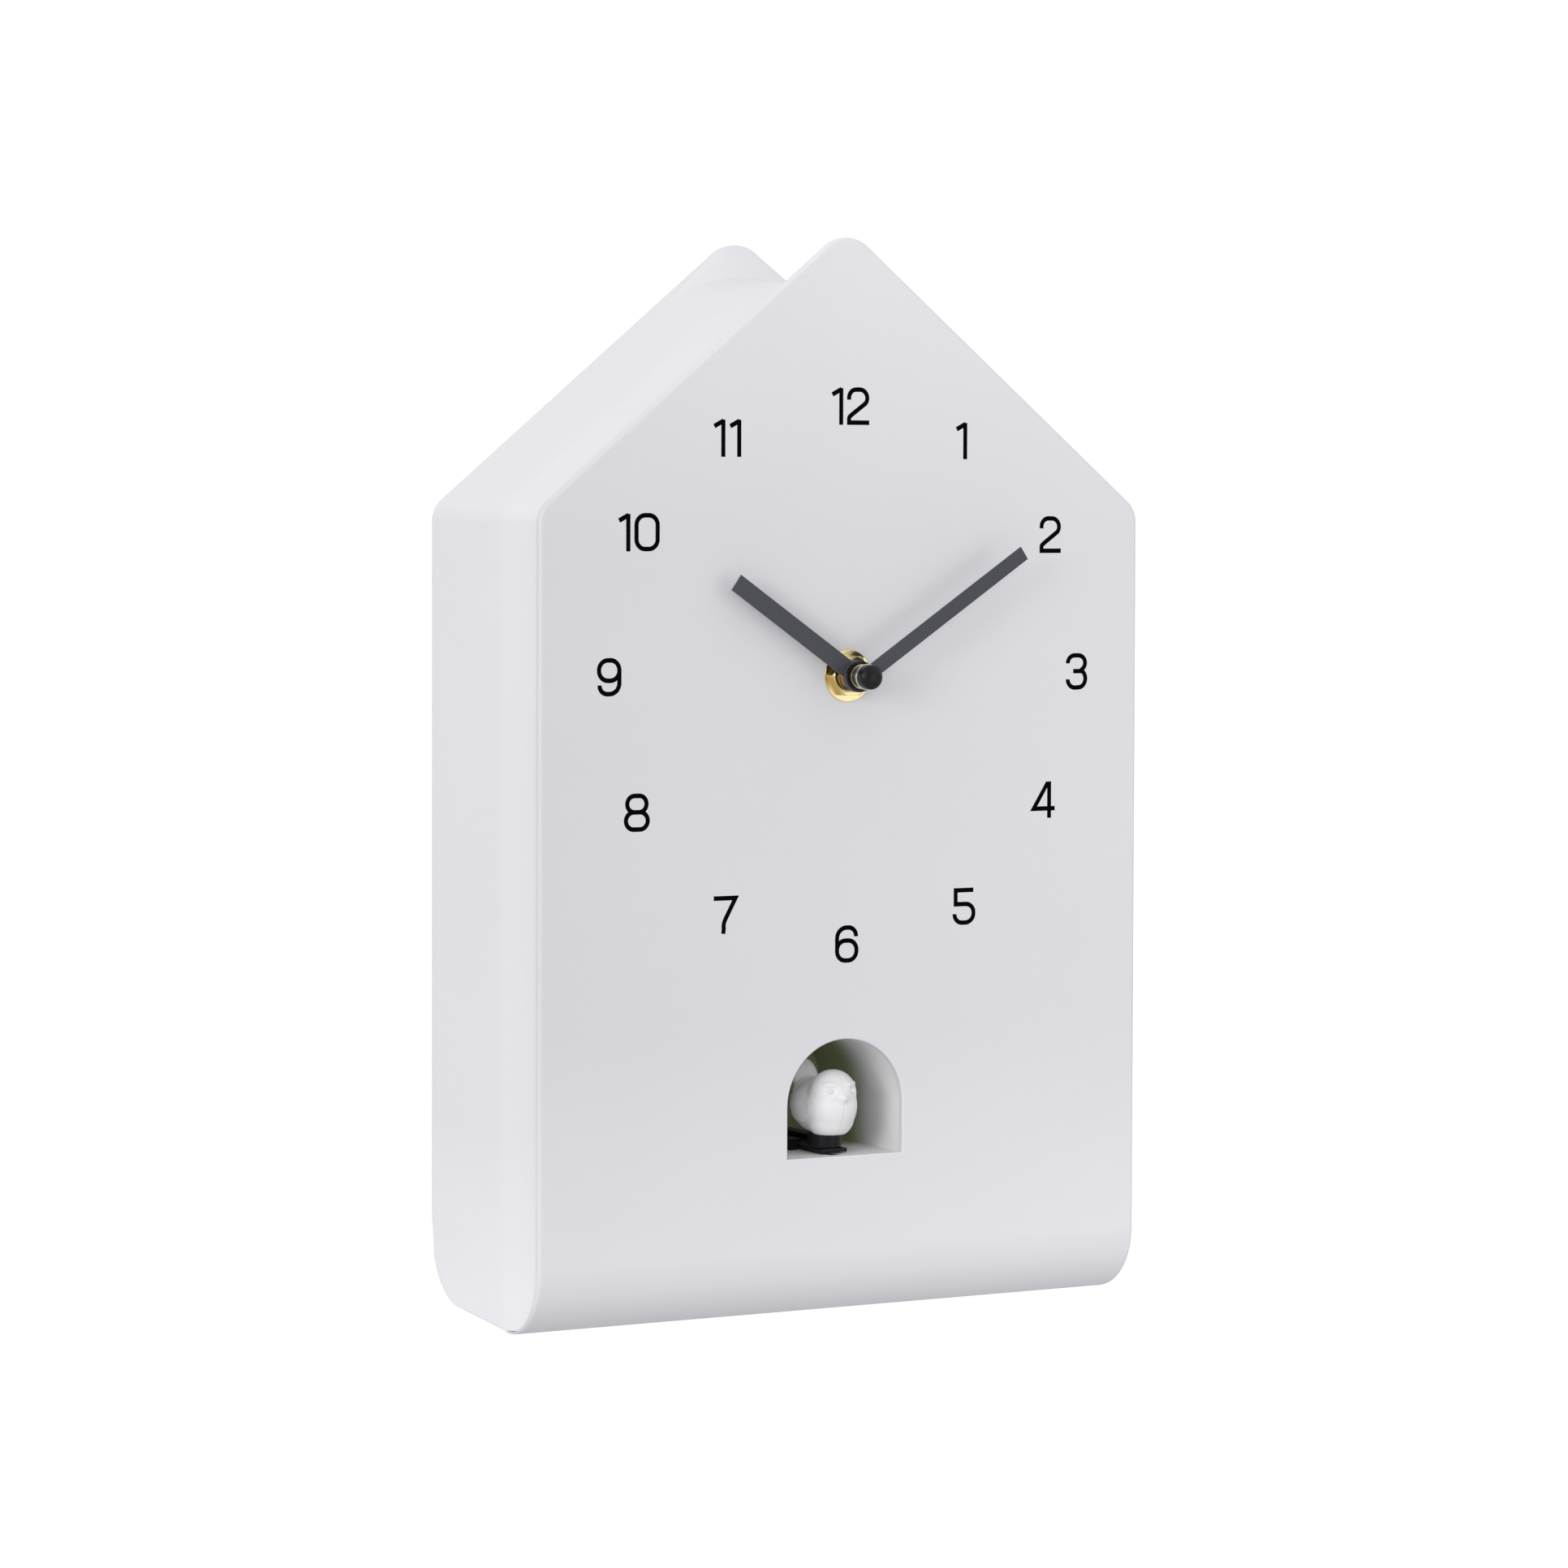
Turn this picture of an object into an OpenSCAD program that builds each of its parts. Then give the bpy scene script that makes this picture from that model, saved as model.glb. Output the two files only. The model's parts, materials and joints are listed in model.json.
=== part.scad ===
// House-shaped cuckoo clock: dial, hands, sliding bird, quartz movement and sound unit.
// Millimetres. +Z is up, the dial faces -Y and the wall plane is Y = 0.
// The origin is the centre of the keyhole that hangs the clock.

/* [Casing] */
// Width across the side walls
body_w = 194; // [190:1:200]
// Depth from the wall to the dial face
body_d = 70; // [70:0.5:74]
// Slope of the roof, in degrees
roof_pitch = 39.5; // [38:0.5:41]
// Height of the unrounded eave above the hands' axis
eave_up = 47; // [45:0.5:49]
// Depth of the lowest point below the hands' axis
base_down = 183; // [182:0.5:186]
// Radius of the roof ridge
ridge_r = 10.5; // [9:0.5:12]
// Radius of the eaves
eave_r = 8; // [7.5:0.5:9]
// Radius of the bend between dial face and base
bend_r = 20; // [18:0.5:21]
// Radius between base and wall side
heel_r = 17; // [15:0.5:18]
// Rise of the base towards the wall, in degrees
base_tilt = 4.5; // [3:0.5:5]
// Height of the keyhole above the hands' axis
hook_up = 98; // [96:0.5:99]
// Inward taper of the shoulder behind the front panel
shoulder_in = 2.5; // [1:0.1:2.6]
// Depth of that shoulder
shoulder_d = 24; // [20:0.5:24]
// Radius of the roof's broad saddle where it meets the rear plate
saddle_back_r = 42; // [40:1:44]
// Radius of that saddle behind the front wall
saddle_front_r = 66; // [60:1:68]
// Thickness of the house-shaped rear plate behind the saddle
rear_plate_t = 3; // [2.6:0.1:3.2]

/* [Panels] */
// Thickness of the front panel
panel_t = 2.2; // [1.8:0.1:2.4]
// Thickness that the front panel tapers to under the base
panel_tip_t = 0.6; // [0.5:0.1:1]
// Shadow gap between panel and shell
panel_gap = 0.4; // [0.3:0.1:0.5]
// Thickness of the shell's side walls
wall_t = 2.6; // [2.2:0.1:2.8]
// Thickness of the back cover
cover_t = 2.4; // [2.2:0.1:2.6]

/* [Niche] */
// Half width of the arched opening
niche_r = 18.7; // [18:0.1:19]
// Sill, below the hands' axis
sill_down = 136.6; // [136:0.1:137]
// Height of the opening
niche_h = 33.3; // [32:0.1:34]
// How far the bird slides out
bird_travel = 22; // [10:1:22]

/* [Hands] */
// Length of the minute hand from its axis
minute_len = 62.6; // [58:0.1:64]
// Width of the minute hand
minute_w = 4.2; // [3.5:0.1:5]
// Length of the hour hand from its axis
hour_len = 47; // [42:0.1:50]
// Width of the hour hand
hour_w = 5.1; // [4:0.1:6]
// Direction of the minute hand, clockwise from 12
minute_angle = 56.4; // [0:0.1:360]
// Direction of the hour hand, clockwise from 12
hour_angle = 304.7; // [0:0.1:360]

/* [Movement] */
// Side of the square movement case
case_w = 56; // [54:1:58]
// Gear module of the motion work
motion_m = 0.5; // [0.5:0.1:0.5]
// Gear module of the bird's rack
rack_m = 0.8; // [0.8:0.1:0.8]

/* [Hidden] */
$fn = 64;
eps = 0.01;

// Main heights and planes
dial_z = -hook_up;
base_z = dial_z - base_down;
half_w = body_w / 2;
eave_z = dial_z + eave_up;
ridge_z = eave_z + half_w * tan(roof_pitch);
face_y = -body_d;
panel_back_y = face_y + panel_t;
shell_front_y = panel_back_y + panel_gap;
front_wall_t = 2;
cavity_y = shell_front_y + front_wall_t;
crease_y = face_y + shoulder_d;
panel_end_y = face_y + bend_r * (1 + sin(base_tilt));
turn = 90 - roof_pitch;
arc_n = 12;

// Points along an arc, in the plane of an outline
function arc_pts(c, r, a0, a1, n = arc_n) =
    [for (i = [0:n]) let (a = a0 + (a1 - a0) * i / n) [c[0] + r * cos(a), c[1] + r * sin(a)]];

// Front outline in X and Z, drawn inwards by inset and closed far below the base
eave_c = [half_w - eave_r, eave_z - eave_r * tan(turn / 2)];

module outline(inset = 0, top_r = ridge_r) {
    low_z = base_z - 5;
    ridge_c = [0, ridge_z - top_r / cos(roof_pitch)];
    polygon(concat(
        [[half_w - inset, low_z]],
        arc_pts(eave_c, eave_r - inset, 0, turn),
        arc_pts(ridge_c, top_r - inset, turn, 180 - turn),
        arc_pts([-eave_c[0], eave_c[1]], eave_r - inset, 180 - turn, 180),
        [[inset - half_w, low_z]]
    ));
}

// Side outline in Y and Z: flat face, bend, rising base, heel and wall side
bend_c = [face_y + bend_r, base_z + bend_r];
heel_run = body_d - bend_r - heel_r;
heel_c = [-heel_r, bend_c[1] + (heel_run * sin(base_tilt) - bend_r + heel_r) / cos(base_tilt)];

module side_outline(inset = 0) {
    top_z = ridge_z + 5;
    polygon(concat(
        [[face_y + inset, top_z]],
        arc_pts(bend_c, bend_r - inset, 180, 270 + base_tilt),
        arc_pts(heel_c, heel_r - inset, 270 + base_tilt, 360),
        [[-inset, top_z]]
    ));
}

// Extrudes an X-Z outline from y0 back to y1
module along_y(y0, y1) {
    translate([0, y1, 0]) rotate([90, 0, 0]) linear_extrude(y1 - y0) children();
}

// Extrudes a Y-Z outline across the body, centred on X = 0
module along_x(width = body_w + 2) {
    rotate([90, 0, 90]) linear_extrude(width, center = true) children();
}

// Cylinder along Y from y0 to y1 at x, z
module rod_y(x, z, y0, y1, r, r2 = -1) {
    translate([x, y1, z]) rotate([90, 0, 0]) cylinder(h = y1 - y0, r1 = (r2 < 0) ? r : r2, r2 = r);
}

// Cylinder along X from x0 to x1 at y, z
module rod_x(y, z, x0, x1, r) {
    translate([x0, y, z]) rotate([0, 90, 0]) cylinder(h = x1 - x0, r = r);
}

// Box between two corners
module block(a, b) {
    translate(a) cube(b - a);
}

// Arched doorway outline: straight sides and a half-round top
module arch(r, floor_z, spring_z) {
    difference() {
        union() {
            translate([0, spring_z]) circle(r);
            translate([-r, floor_z]) square([2 * r, spring_z - floor_z]);
        }
        translate([-r - 1, floor_z - 2 * r]) square([2 * r + 2, 2 * r]);
    }
}

// Spur gear outline with straight-flanked teeth, first tooth centred on angle phase
function gear_pts(n, m, phase) =
    let (r = m * n / 2, pitch = 360 / n)
    [for (i = [0:n - 1])
        for (p = [[r - 1.1 * m, -0.29], [r + 0.8 * m, -0.12], [r + 0.8 * m, 0.12], [r - 1.1 * m, 0.29]])
            let (a = phase + pitch * (i + p[1])) [p[0] * cos(a), p[0] * sin(a)]];

module gear(n, m, phase = 0) {
    polygon(gear_pts(n, m, phase));
}

// ---- Casing ----

niche_sill_z = dial_z - sill_down;
niche_spring_z = niche_sill_z + niche_h - niche_r;
bushing_r = 4;
bushing_hole_r = 4.3;
shell_inset = panel_t + panel_gap;
cavity_inset = shell_inset + front_wall_t;
cover_bottom_z = base_z + 24;
cover_clear = 0.3;
screw_xz = [for (s = [-1, 1], p = [[85, -148], [85, -30], [45, 72]]) [s * p[0], dial_z + p[1]]];
boss_r = 4;
pilot_r = 1.3;

// Side view of all that lies inside the front panel, which thins out along its bend
tip_shift = (panel_t - panel_tip_t) / 2;
inner_bend_r = bend_r - (panel_t + panel_tip_t) / 2;
module inner_side(gap = 0) {
    top_z = ridge_z + 5;
    polygon(concat(
        [[panel_back_y + gap, top_z]],
        arc_pts(bend_c + tip_shift * [1, -1], inner_bend_r - gap, 180, 270 + base_tilt),
        arc_pts(heel_c, heel_r - panel_tip_t - gap, 270 + base_tilt, 360),
        [[-panel_tip_t - gap, top_z]]
    ));
}

module front_panel() {
    color("white") difference() {
        intersection() {
            along_y(face_y, panel_end_y) outline();
            along_x() difference() {
                side_outline();
                inner_side();
            }
        }
        along_y(face_y - 1, panel_back_y + 1) arch(niche_r, niche_sill_z, niche_spring_z);
        rod_y(0, dial_z, face_y - 1, panel_back_y + 1, bushing_hole_r);
    }
}

// Side view of the shell: set back under the panel, full size behind it
module shell_side() {
    inner_side(panel_gap);
    intersection() {
        side_outline();
        translate([panel_end_y + panel_gap, base_z - 5]) square([body_d, ridge_z - base_z + 20]);
    }
}

// Roof and side walls between the front wall and the rear plate, drawn inwards by inset
saddle_crease_r = saddle_front_r
    + (saddle_back_r - saddle_front_r) * (crease_y - shell_front_y) / (-rear_plate_t - shell_front_y);
module saddle_body(inset = 0) {
    hull() {
        along_y(crease_y - eps, crease_y) outline(inset, saddle_crease_r);
        along_y(shell_front_y, shell_front_y + eps) outline(inset + shoulder_in, saddle_front_r);
    }
    hull() {
        along_y(crease_y - eps, crease_y) outline(inset, saddle_crease_r);
        along_y(-rear_plate_t, 0) outline(inset, saddle_back_r);
    }
}

liner_in_r = niche_r + 0.5;
liner_t = 1.6;
liner_r = liner_in_r + liner_t;
liner_floor_z = niche_sill_z - 0.3;
liner_bottom_z = liner_floor_z - 2.5;

module body_shell() {
    color("whitesmoke") {
        difference() {
            intersection() {
                along_x() shell_side();
                union() {
                    saddle_body();
                    along_y(shell_front_y, cavity_y) outline(shoulder_in);
                    along_y(-rear_plate_t, 0) outline();
                }
            }
            intersection() {
                along_x() side_outline(cavity_inset);
                saddle_body(wall_t);
            }
            intersection() {
                along_y(-cavity_inset - 1, 1) outline(wall_t, saddle_back_r);
                block([-body_w, -20, cover_bottom_z - cover_clear], [body_w, 2, ridge_z + 5]);
            }
            along_y(face_y, cavity_y + 1) arch(liner_r + 0.2, liner_bottom_z - 0.2, niche_spring_z);
            rod_y(0, dial_z, face_y, cavity_y + 1, bushing_hole_r);
        }
        for (p = screw_xz) difference() {
            rod_y(p[0], p[1], cavity_y - 0.5, -cover_t - 0.1, boss_r);
            rod_y(p[0], p[1], -16, 0, pilot_r);
        }
    }
}

// Back cover: keyhole, battery opening, set-knob cup, grille, switch slots and screw holes
bay_w = 51.2;
bay_bottom_z = dial_z + 7;
hinge_z = dial_z + 68;
hinge_y = -2;
hinge_pin_r = 0.8;
set_x = 10;
set_z = dial_z - 10;
set_shaft_r = 1.5;
cup_r = 12;
cup_floor_y = -9;
cup_t = 1.6;
speaker_x = -50;
speaker_z = dial_z - 60;
speaker_r = 20;
slider_z = dial_z - 50;
volume_x = 42;
mode_x = 66;
button_x = 54;
button_z = dial_z - 72;
slider_slot = [9.4, 3.4];
button_r = 2.6;
screw_head_r = 2.8;
pad_x = 72;
pad_z = base_z + 40;
pad_r = 6;
pad_t = 1;

module keyhole() {
    rod_y(0, 0, -cover_t - 1, 1, 4.5);
    rod_y(0, 9, -cover_t - 1, 1, 2.2);
    block([-2.2, -cover_t - 1, 0], [2.2, 1, 9]);
}

module hinge_lug(side) {
    x0 = side * (bay_w / 2);
    x1 = side * (bay_w / 2 + 3);
    difference() {
        block([min(x0, x1), -4.5, hinge_z - 2.5], [max(x0, x1), -cover_t + eps, hinge_z + 2.5]);
        rod_x(hinge_y, hinge_z, min(x0, x1) - 1, max(x0, x1) + 1, hinge_pin_r + 0.05);
    }
}

module back_cover() {
    color("white") {
        difference() {
            intersection() {
                along_y(-cover_t, 0) outline(wall_t + cover_clear, saddle_back_r);
                block([-body_w, -5, cover_bottom_z], [body_w, 1, ridge_z + 5]);
            }
            keyhole();
            block([-bay_w / 2, -5, bay_bottom_z], [bay_w / 2, 1, hinge_z + 2.8]);
            rod_x(hinge_y, hinge_z, -bay_w / 2 - 3, bay_w / 2 + 3, hinge_pin_r + 0.05);
            rod_y(set_x, set_z, -5, 1, cup_r);
            for (i = [-3:3]) {
                reach = sqrt(pow(speaker_r - 3, 2) - pow(i * 5, 2));
                z = speaker_z + i * 5;
                block([speaker_x - reach, -5, z - 1.1], [speaker_x + reach, 1, z + 1.1]);
            }
            for (x = [volume_x, mode_x]) {
                block([x - slider_slot[0] / 2, -5, slider_z - slider_slot[1] / 2],
                      [x + slider_slot[0] / 2, 1, slider_z + slider_slot[1] / 2]);
            }
            rod_y(button_x, button_z, -5, 1, button_r + 0.35);
            for (side = [-1, 1]) rod_y(side * pad_x, pad_z, -pad_t, 1, pad_r + 0.1);
            for (p = screw_xz) {
                rod_y(p[0], p[1], -5, 1, pilot_r + 0.4);
                rod_y(p[0], p[1], -1.3, 1, screw_head_r + 0.3);
            }
        }
        for (side = [-1, 1]) hinge_lug(side);
        difference() {
            rod_y(set_x, set_z, cup_floor_y - cup_t, -cover_t + eps, cup_r + cup_t);
            rod_y(set_x, set_z, cup_floor_y, 0, cup_r);
            rod_y(set_x, set_z, cup_floor_y - 5, 0, set_shaft_r + 0.3);
        }
        for (p = board_screw_xz) difference() {
            rod_y(p[0], p[1], board_back_y, -cover_t + eps, 2.4);
            rod_y(p[0], p[1], board_y - 1, -cover_t - 1, 0.9);
        }
    }
}

// Pan-head screws driven from the wall side
module screw_from_back(x, z, head_y, shank_end_y, head_r, shank_r, head_h) {
    difference() {
        rod_y(x, z, head_y - head_h, head_y, head_r);
        for (a = [0, 90]) translate([x, head_y, z]) rotate([0, a, 0])
            cube([head_r * 1.2, 1.2, 0.6], center = true);
    }
    rod_y(x, z, shank_end_y, head_y - head_h + eps, shank_r);
}

module cover_screws() {
    color("silver") for (p = screw_xz)
        screw_from_back(p[0], p[1], -0.1, -13, screw_head_r, 1.2, 1.2);
}

module wall_pads() {
    color("dimgray") for (side = [-1, 1]) rod_y(side * pad_x, pad_z, -pad_t, 0, pad_r);
}

// ---- Niche ----

liner_back_y = -19;
rib_half = 1.5;
rib_slot_half = 2.2;
bar_w = 8.4;
bar_slot_half = bar_w / 2 + 0.4;
bar_bottom_z = niche_sill_z + 0.2;
bar_top_z = bar_bottom_z + 1.1;
bar_front_y = face_y + 6.5;
bar_back_y = -12;
guide_front_y = -50;
guide_back_y = -24;

module niche_liner() {
    color("white") difference() {
        along_y(panel_back_y + 0.2, liner_back_y) arch(liner_r, liner_bottom_z, niche_spring_z);
        along_y(panel_back_y - 1, liner_back_y - liner_t) arch(liner_in_r, liner_floor_z, niche_spring_z);
        block([-bar_slot_half, liner_back_y - 5, liner_floor_z - eps], [bar_slot_half, 0, bar_top_z + 0.4]);
        block([-rib_slot_half, face_y + 5, liner_bottom_z - 1], [rib_slot_half, 0, liner_floor_z + eps]);
        for (p = frame_screw_xy) translate([p[0], p[1], liner_bottom_z - eps]) cylinder(h = 1.8, r = 1);
    }
}

// Two rails that hold the bar down behind the bird's post
module slide_guides() {
    color("dimgray") for (side = [-1, 1]) {
        foot = [side * bar_slot_half, side * (bar_slot_half + 2.6)];
        lip = [side * 3.2, side * (bar_slot_half + 2.6)];
        block([min(foot), guide_front_y, liner_floor_z], [max(foot), guide_back_y, bar_top_z + 0.5]);
        block([min(lip), guide_front_y, bar_top_z + 0.4], [max(lip), guide_back_y, bar_top_z + 1.6]);
    }
}

// ---- Movement ----

case_t = 1.2;
case_front_y = cavity_y + 1;
case_mid_y = case_front_y + 8;
case_back_y = case_front_y + 16;
motion_reach = 20 * motion_m;
motion_x = motion_reach;
motion_z = dial_z;
arbor_r = 1.7;
hour_bore_r = 1.75;
hour_tube_r = 2.5;
hour_gear_y = [case_front_y + case_t + 0.4, case_front_y + case_t + 1.5];
drive_gear_y = [hour_gear_y[1] + 0.9, hour_gear_y[1] + 1.9];

// Square block of the movement case, drawn inwards by inset
module case_block(y0, y1, inset) {
    half = case_w / 2 - inset;
    block([-half, y0, dial_z - half], [half, y1, dial_z + half]);
}

module movement_front() {
    color("dimgray") {
        difference() {
            case_block(case_front_y, case_mid_y, 0);
            case_block(case_front_y + case_t, case_mid_y + 1, case_t);
            rod_y(0, dial_z, case_front_y - 1, case_mid_y, bushing_r + 0.05);
            rod_y(motion_x, motion_z, case_front_y + 0.4, case_mid_y, 0.65);
        }
    }
}

module movement_back() {
    color("dimgray") difference() {
        case_block(case_mid_y + 0.1, case_back_y, 0);
        case_block(case_mid_y, case_back_y - case_t, case_t);
        rod_y(0, dial_z, case_mid_y, case_back_y + 1, arbor_r + 0.05);
        rod_y(motion_x, motion_z, case_mid_y, case_back_y + 1, 0.65);
        rod_y(set_x, set_z, case_mid_y, case_back_y + 1, set_shaft_r + 0.05);
    }
}

// Front ends of the coaxial parts, measured out from the dial face
bushing_out = 4.6;
washer_t = 0.6;
nut_h = 2.6;
hour_hand_out = [5.3, 5.9];
hour_hub_out = [5.3, 7.3];
hour_tube_out = 8.5;
minute_hand_out = [10.2, 10.7];
minute_hub_out = [9, 11];
arbor_out = 11.2;
cap_ring_out = [11.2, 11.6];
cap_out = [11.6, 15.4];
nut_flats = 11;
nut_washer_r = 7.4;

module threaded_bushing() {
    thread_y = face_y - bushing_out;
    color("goldenrod") difference() {
        union() {
            rod_y(0, dial_z, thread_y, case_front_y + case_t, bushing_r - 0.35);
            for (i = [0:8]) rod_y(0, dial_z, thread_y + 0.2 + i, thread_y + 0.75 + i, bushing_r);
        }
        rod_y(0, dial_z, face_y - 20, case_mid_y, hour_tube_r + 0.05);
    }
}

module rubber_washer() {
    color("black") difference() {
        rod_y(0, dial_z, cavity_y, case_front_y, 10);
        rod_y(0, dial_z, face_y, case_mid_y, bushing_r + 0.2);
    }
}

module brass_washer() {
    color("gold") difference() {
        rod_y(0, dial_z, face_y - washer_t, face_y, nut_washer_r);
        rod_y(0, dial_z, face_y - 5, face_y + 1, bushing_r + 0.1);
    }
}

module hex_nut() {
    color("gold") difference() {
        intersection() {
            translate([0, face_y - washer_t, dial_z]) rotate([90, 0, 0])
                cylinder(h = nut_h, r = nut_flats / 2 / cos(30), $fn = 6);
            rod_y(0, dial_z, face_y - washer_t - nut_h, face_y, nut_flats / 2 + 0.2, nut_flats / 2 + 2.4);
        }
        rod_y(0, dial_z, face_y - 9, face_y + 1, bushing_r + 0.05);
    }
}

module stepper_coil() {
    color("peru") {
        rod_x(case_front_y + 6.5, dial_z - 20, -22, -4, 2.8);
        for (x = [-23, -4]) rod_x(case_front_y + 6.5, dial_z - 20, x, x + 1, 3.6);
    }
}

module stator_plate() {
    color("silver") difference() {
        union() {
            block([-25, case_front_y + 10.6, dial_z - 23], [-20, case_front_y + 11.4, dial_z - 2]);
            block([-25, case_front_y + 10.6, dial_z - 6], [-4, case_front_y + 11.4, dial_z - 2]);
            block([-8, case_front_y + 10.6, dial_z - 23], [-4, case_front_y + 11.4, dial_z - 2]);
        }
        rod_y(-14, dial_z - 4, case_front_y, case_back_y, 1.2);
    }
}

module movement_board() {
    color("darkgreen")
        block([-24, case_front_y + 4, dial_z + 12], [24, case_front_y + 5, dial_z + 25]);
}

module quartz_crystal() {
    color("silver") rod_x(case_front_y + 6.1, dial_z + 20, -4, 3, 1);
}

// Cannon pinion, arbor through the hour tube, and the thread for the cap
module minute_arbor() {
    color("goldenrod") {
        rod_y(0, dial_z, face_y - arbor_out, case_back_y - 0.2, arbor_r);
        along_y(drive_gear_y[0] - 0.1, drive_gear_y[1] + 0.2) translate([0, dial_z]) gear(10, motion_m);
    }
}

module hour_wheel() {
    color("darkgoldenrod") difference() {
        union() {
            along_y(hour_gear_y[0], hour_gear_y[1]) translate([0, dial_z]) gear(32, motion_m);
            rod_y(0, dial_z, face_y - hour_tube_out, hour_gear_y[1], hour_tube_r);
        }
        rod_y(0, dial_z, face_y - 20, case_back_y, hour_bore_r);
    }
}

// Intermediate wheel of 30 teeth with its pinion of 8, between the two hands
module motion_wheel() {
    color("ivory") {
        along_y(hour_gear_y[0] - 0.2, drive_gear_y[0]) translate([motion_x, motion_z])
            gear(8, motion_m, 180 / 8);
        along_y(drive_gear_y[0], drive_gear_y[1]) translate([motion_x, motion_z])
            gear(30, motion_m, 180 / 30);
        rod_y(motion_x, motion_z, case_front_y + 0.6, hour_gear_y[0], 0.6);
        rod_y(motion_x, motion_z, drive_gear_y[1] - eps, case_back_y - 0.2, 0.6);
    }
}

module set_shaft() {
    color("ivory") {
        along_y(drive_gear_y[0], drive_gear_y[1]) translate([set_x, set_z]) gear(10, motion_m, 90 + 180 / 10);
        rod_y(set_x, set_z, drive_gear_y[1] - eps, -3, set_shaft_r);
    }
}

module set_knob() {
    color("dimgray") difference() {
        along_y(-7.6, -1) translate([set_x, set_z]) {
            circle(8.6);
            for (i = [0:23]) rotate(i * 15) translate([8.5, 0]) circle(0.6, $fn = 16);
        }
        rod_y(set_x, set_z, -9, -2.9, set_shaft_r + eps);
    }
}

// ---- Hands ----

// Flat bar from the axis to its tip, pointing clockwise from 12
module hand_bar(angle, len, w, out) {
    translate([0, 0, dial_z]) rotate([0, angle, 0])
        block([-w / 2, face_y - out[1], 0], [w / 2, face_y - out[0], len]);
}

module hour_hand() {
    color("#3c3e45") difference() {
        union() {
            hand_bar(hour_angle, hour_len, hour_w, hour_hand_out);
            rod_y(0, dial_z, face_y - hour_hub_out[1], face_y - hour_hub_out[0], 4.5);
        }
        rod_y(0, dial_z, face_y - 9, face_y, hour_tube_r + eps);
    }
}

module minute_hand() {
    color("#3c3e45") difference() {
        union() {
            hand_bar(minute_angle, minute_len, minute_w, minute_hand_out);
            rod_y(0, dial_z, face_y - minute_hub_out[1], face_y - minute_hub_out[0], 3.1);
        }
        rod_y(0, dial_z, face_y - 14, face_y, arbor_r + eps);
    }
}

module cap_ring() {
    color("silver") rod_y(0, dial_z, face_y - cap_ring_out[1], face_y - cap_ring_out[0], 3.7);
}

// Domed cap nut
module hand_cap() {
    cap_r = 3.5;
    dome_h = 1.6;
    dome_r = (cap_r * cap_r + dome_h * dome_h) / (2 * dome_h);
    color("black") {
        rod_y(0, dial_z, face_y - cap_out[1] + dome_h, face_y - cap_out[0], cap_r);
        intersection() {
            translate([0, face_y - cap_out[1] + dome_r, dial_z]) sphere(dome_r);
            rod_y(0, dial_z, face_y - cap_out[1] - 1, face_y - cap_out[1] + dome_h + eps, cap_r);
        }
    }
}

// ---- Bird and its drive ----

post_y = face_y + 12.2;
belly_z = dial_z - 132;
bird_seam = 0.02;

// Plump body, head, beak and raised tail; the bird looks towards -Y
module bird_solid() {
    translate([0, post_y, belly_z]) {
        hull($fn = 32) {
            translate([0, 0.6, 8]) sphere(8);
            translate([0, 7, 8.6]) sphere(5.4);
            translate([0, -5.4, 9]) sphere(6.6);
            translate([0, -4.6, 12.6]) sphere(6);
        }
        hull($fn = 32) {
            translate([0, 7.5, 9.5]) sphere(4.2);
            translate([1.6, 13.2, 17.4]) sphere(1.6);
            translate([-1.6, 13.2, 17.4]) sphere(1.6);
        }
        translate([0, -10.4, 11.6]) rotate([90, 0, 0]) cylinder(h = 3, r1 = 1.7, r2 = 0.3);
    }
}

module bird_left_half() {
    color("white") intersection() {
        bird_solid();
        block([-20, face_y - 20, belly_z - 5], [-bird_seam, 0, belly_z + 40]);
    }
}

module bird_right_half() {
    color("whitesmoke") intersection() {
        bird_solid();
        block([bird_seam, face_y - 20, belly_z - 5], [20, 0, belly_z + 40]);
    }
}

module bird_post() {
    color("black") difference() {
        translate([0, post_y, bar_top_z]) cylinder(h = belly_z - bar_top_z + 0.9, r = 4.8);
        bird_solid();
    }
}

// Rack under the bar; the first gap is centred over the pinion
rack_pitch = PI * rack_m;
rack_line_z = liner_bottom_z - 1.7;
pinion_n = 14;
pinion_r = pinion_n * rack_m / 2;
pinion_y = -38;
pinion_z = rack_line_z - pinion_r;
rack_half_n = 1;
rack_back_n = 10;

module rack_teeth() {
    for (i = [-rack_half_n:rack_back_n - 1]) {
        y = pinion_y + (i + 0.5) * rack_pitch;
        polygon([
            [y - 0.29 * rack_pitch, rack_line_z + 1.1 * rack_m + eps],
            [y - 0.12 * rack_pitch, rack_line_z - 0.8 * rack_m],
            [y + 0.12 * rack_pitch, rack_line_z - 0.8 * rack_m],
            [y + 0.29 * rack_pitch, rack_line_z + 1.1 * rack_m + eps]
        ]);
    }
}

module slide_rack() {
    rib_front_y = pinion_y - (rack_half_n + 0.2) * rack_pitch;
    rib_back_y = pinion_y + (rack_back_n + 0.2) * rack_pitch;
    root_z = rack_line_z + 1.1 * rack_m;
    color("black") {
        block([-bar_w / 2, bar_front_y, bar_bottom_z], [bar_w / 2, bar_back_y, bar_top_z]);
        block([-rib_half, rib_front_y, root_z], [rib_half, rib_back_y, bar_bottom_z + eps]);
        along_x(2 * rib_half) rack_teeth();
    }
}

motor_y = pinion_y + 9;
motor_n = 10;
wheel_n = 26;
wheel_m = 0.5;
wheel_x = [4.6, 6.4];
frame_x = [[-5, -3.6], [8, 9.4]];
frame_bottom_z = pinion_z - 9;
frame_y = [pinion_y - 5, motor_y + 5];
frame_screw_xy = [[-8.4, pinion_y - 1], [12.8, pinion_y - 1]];

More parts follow.
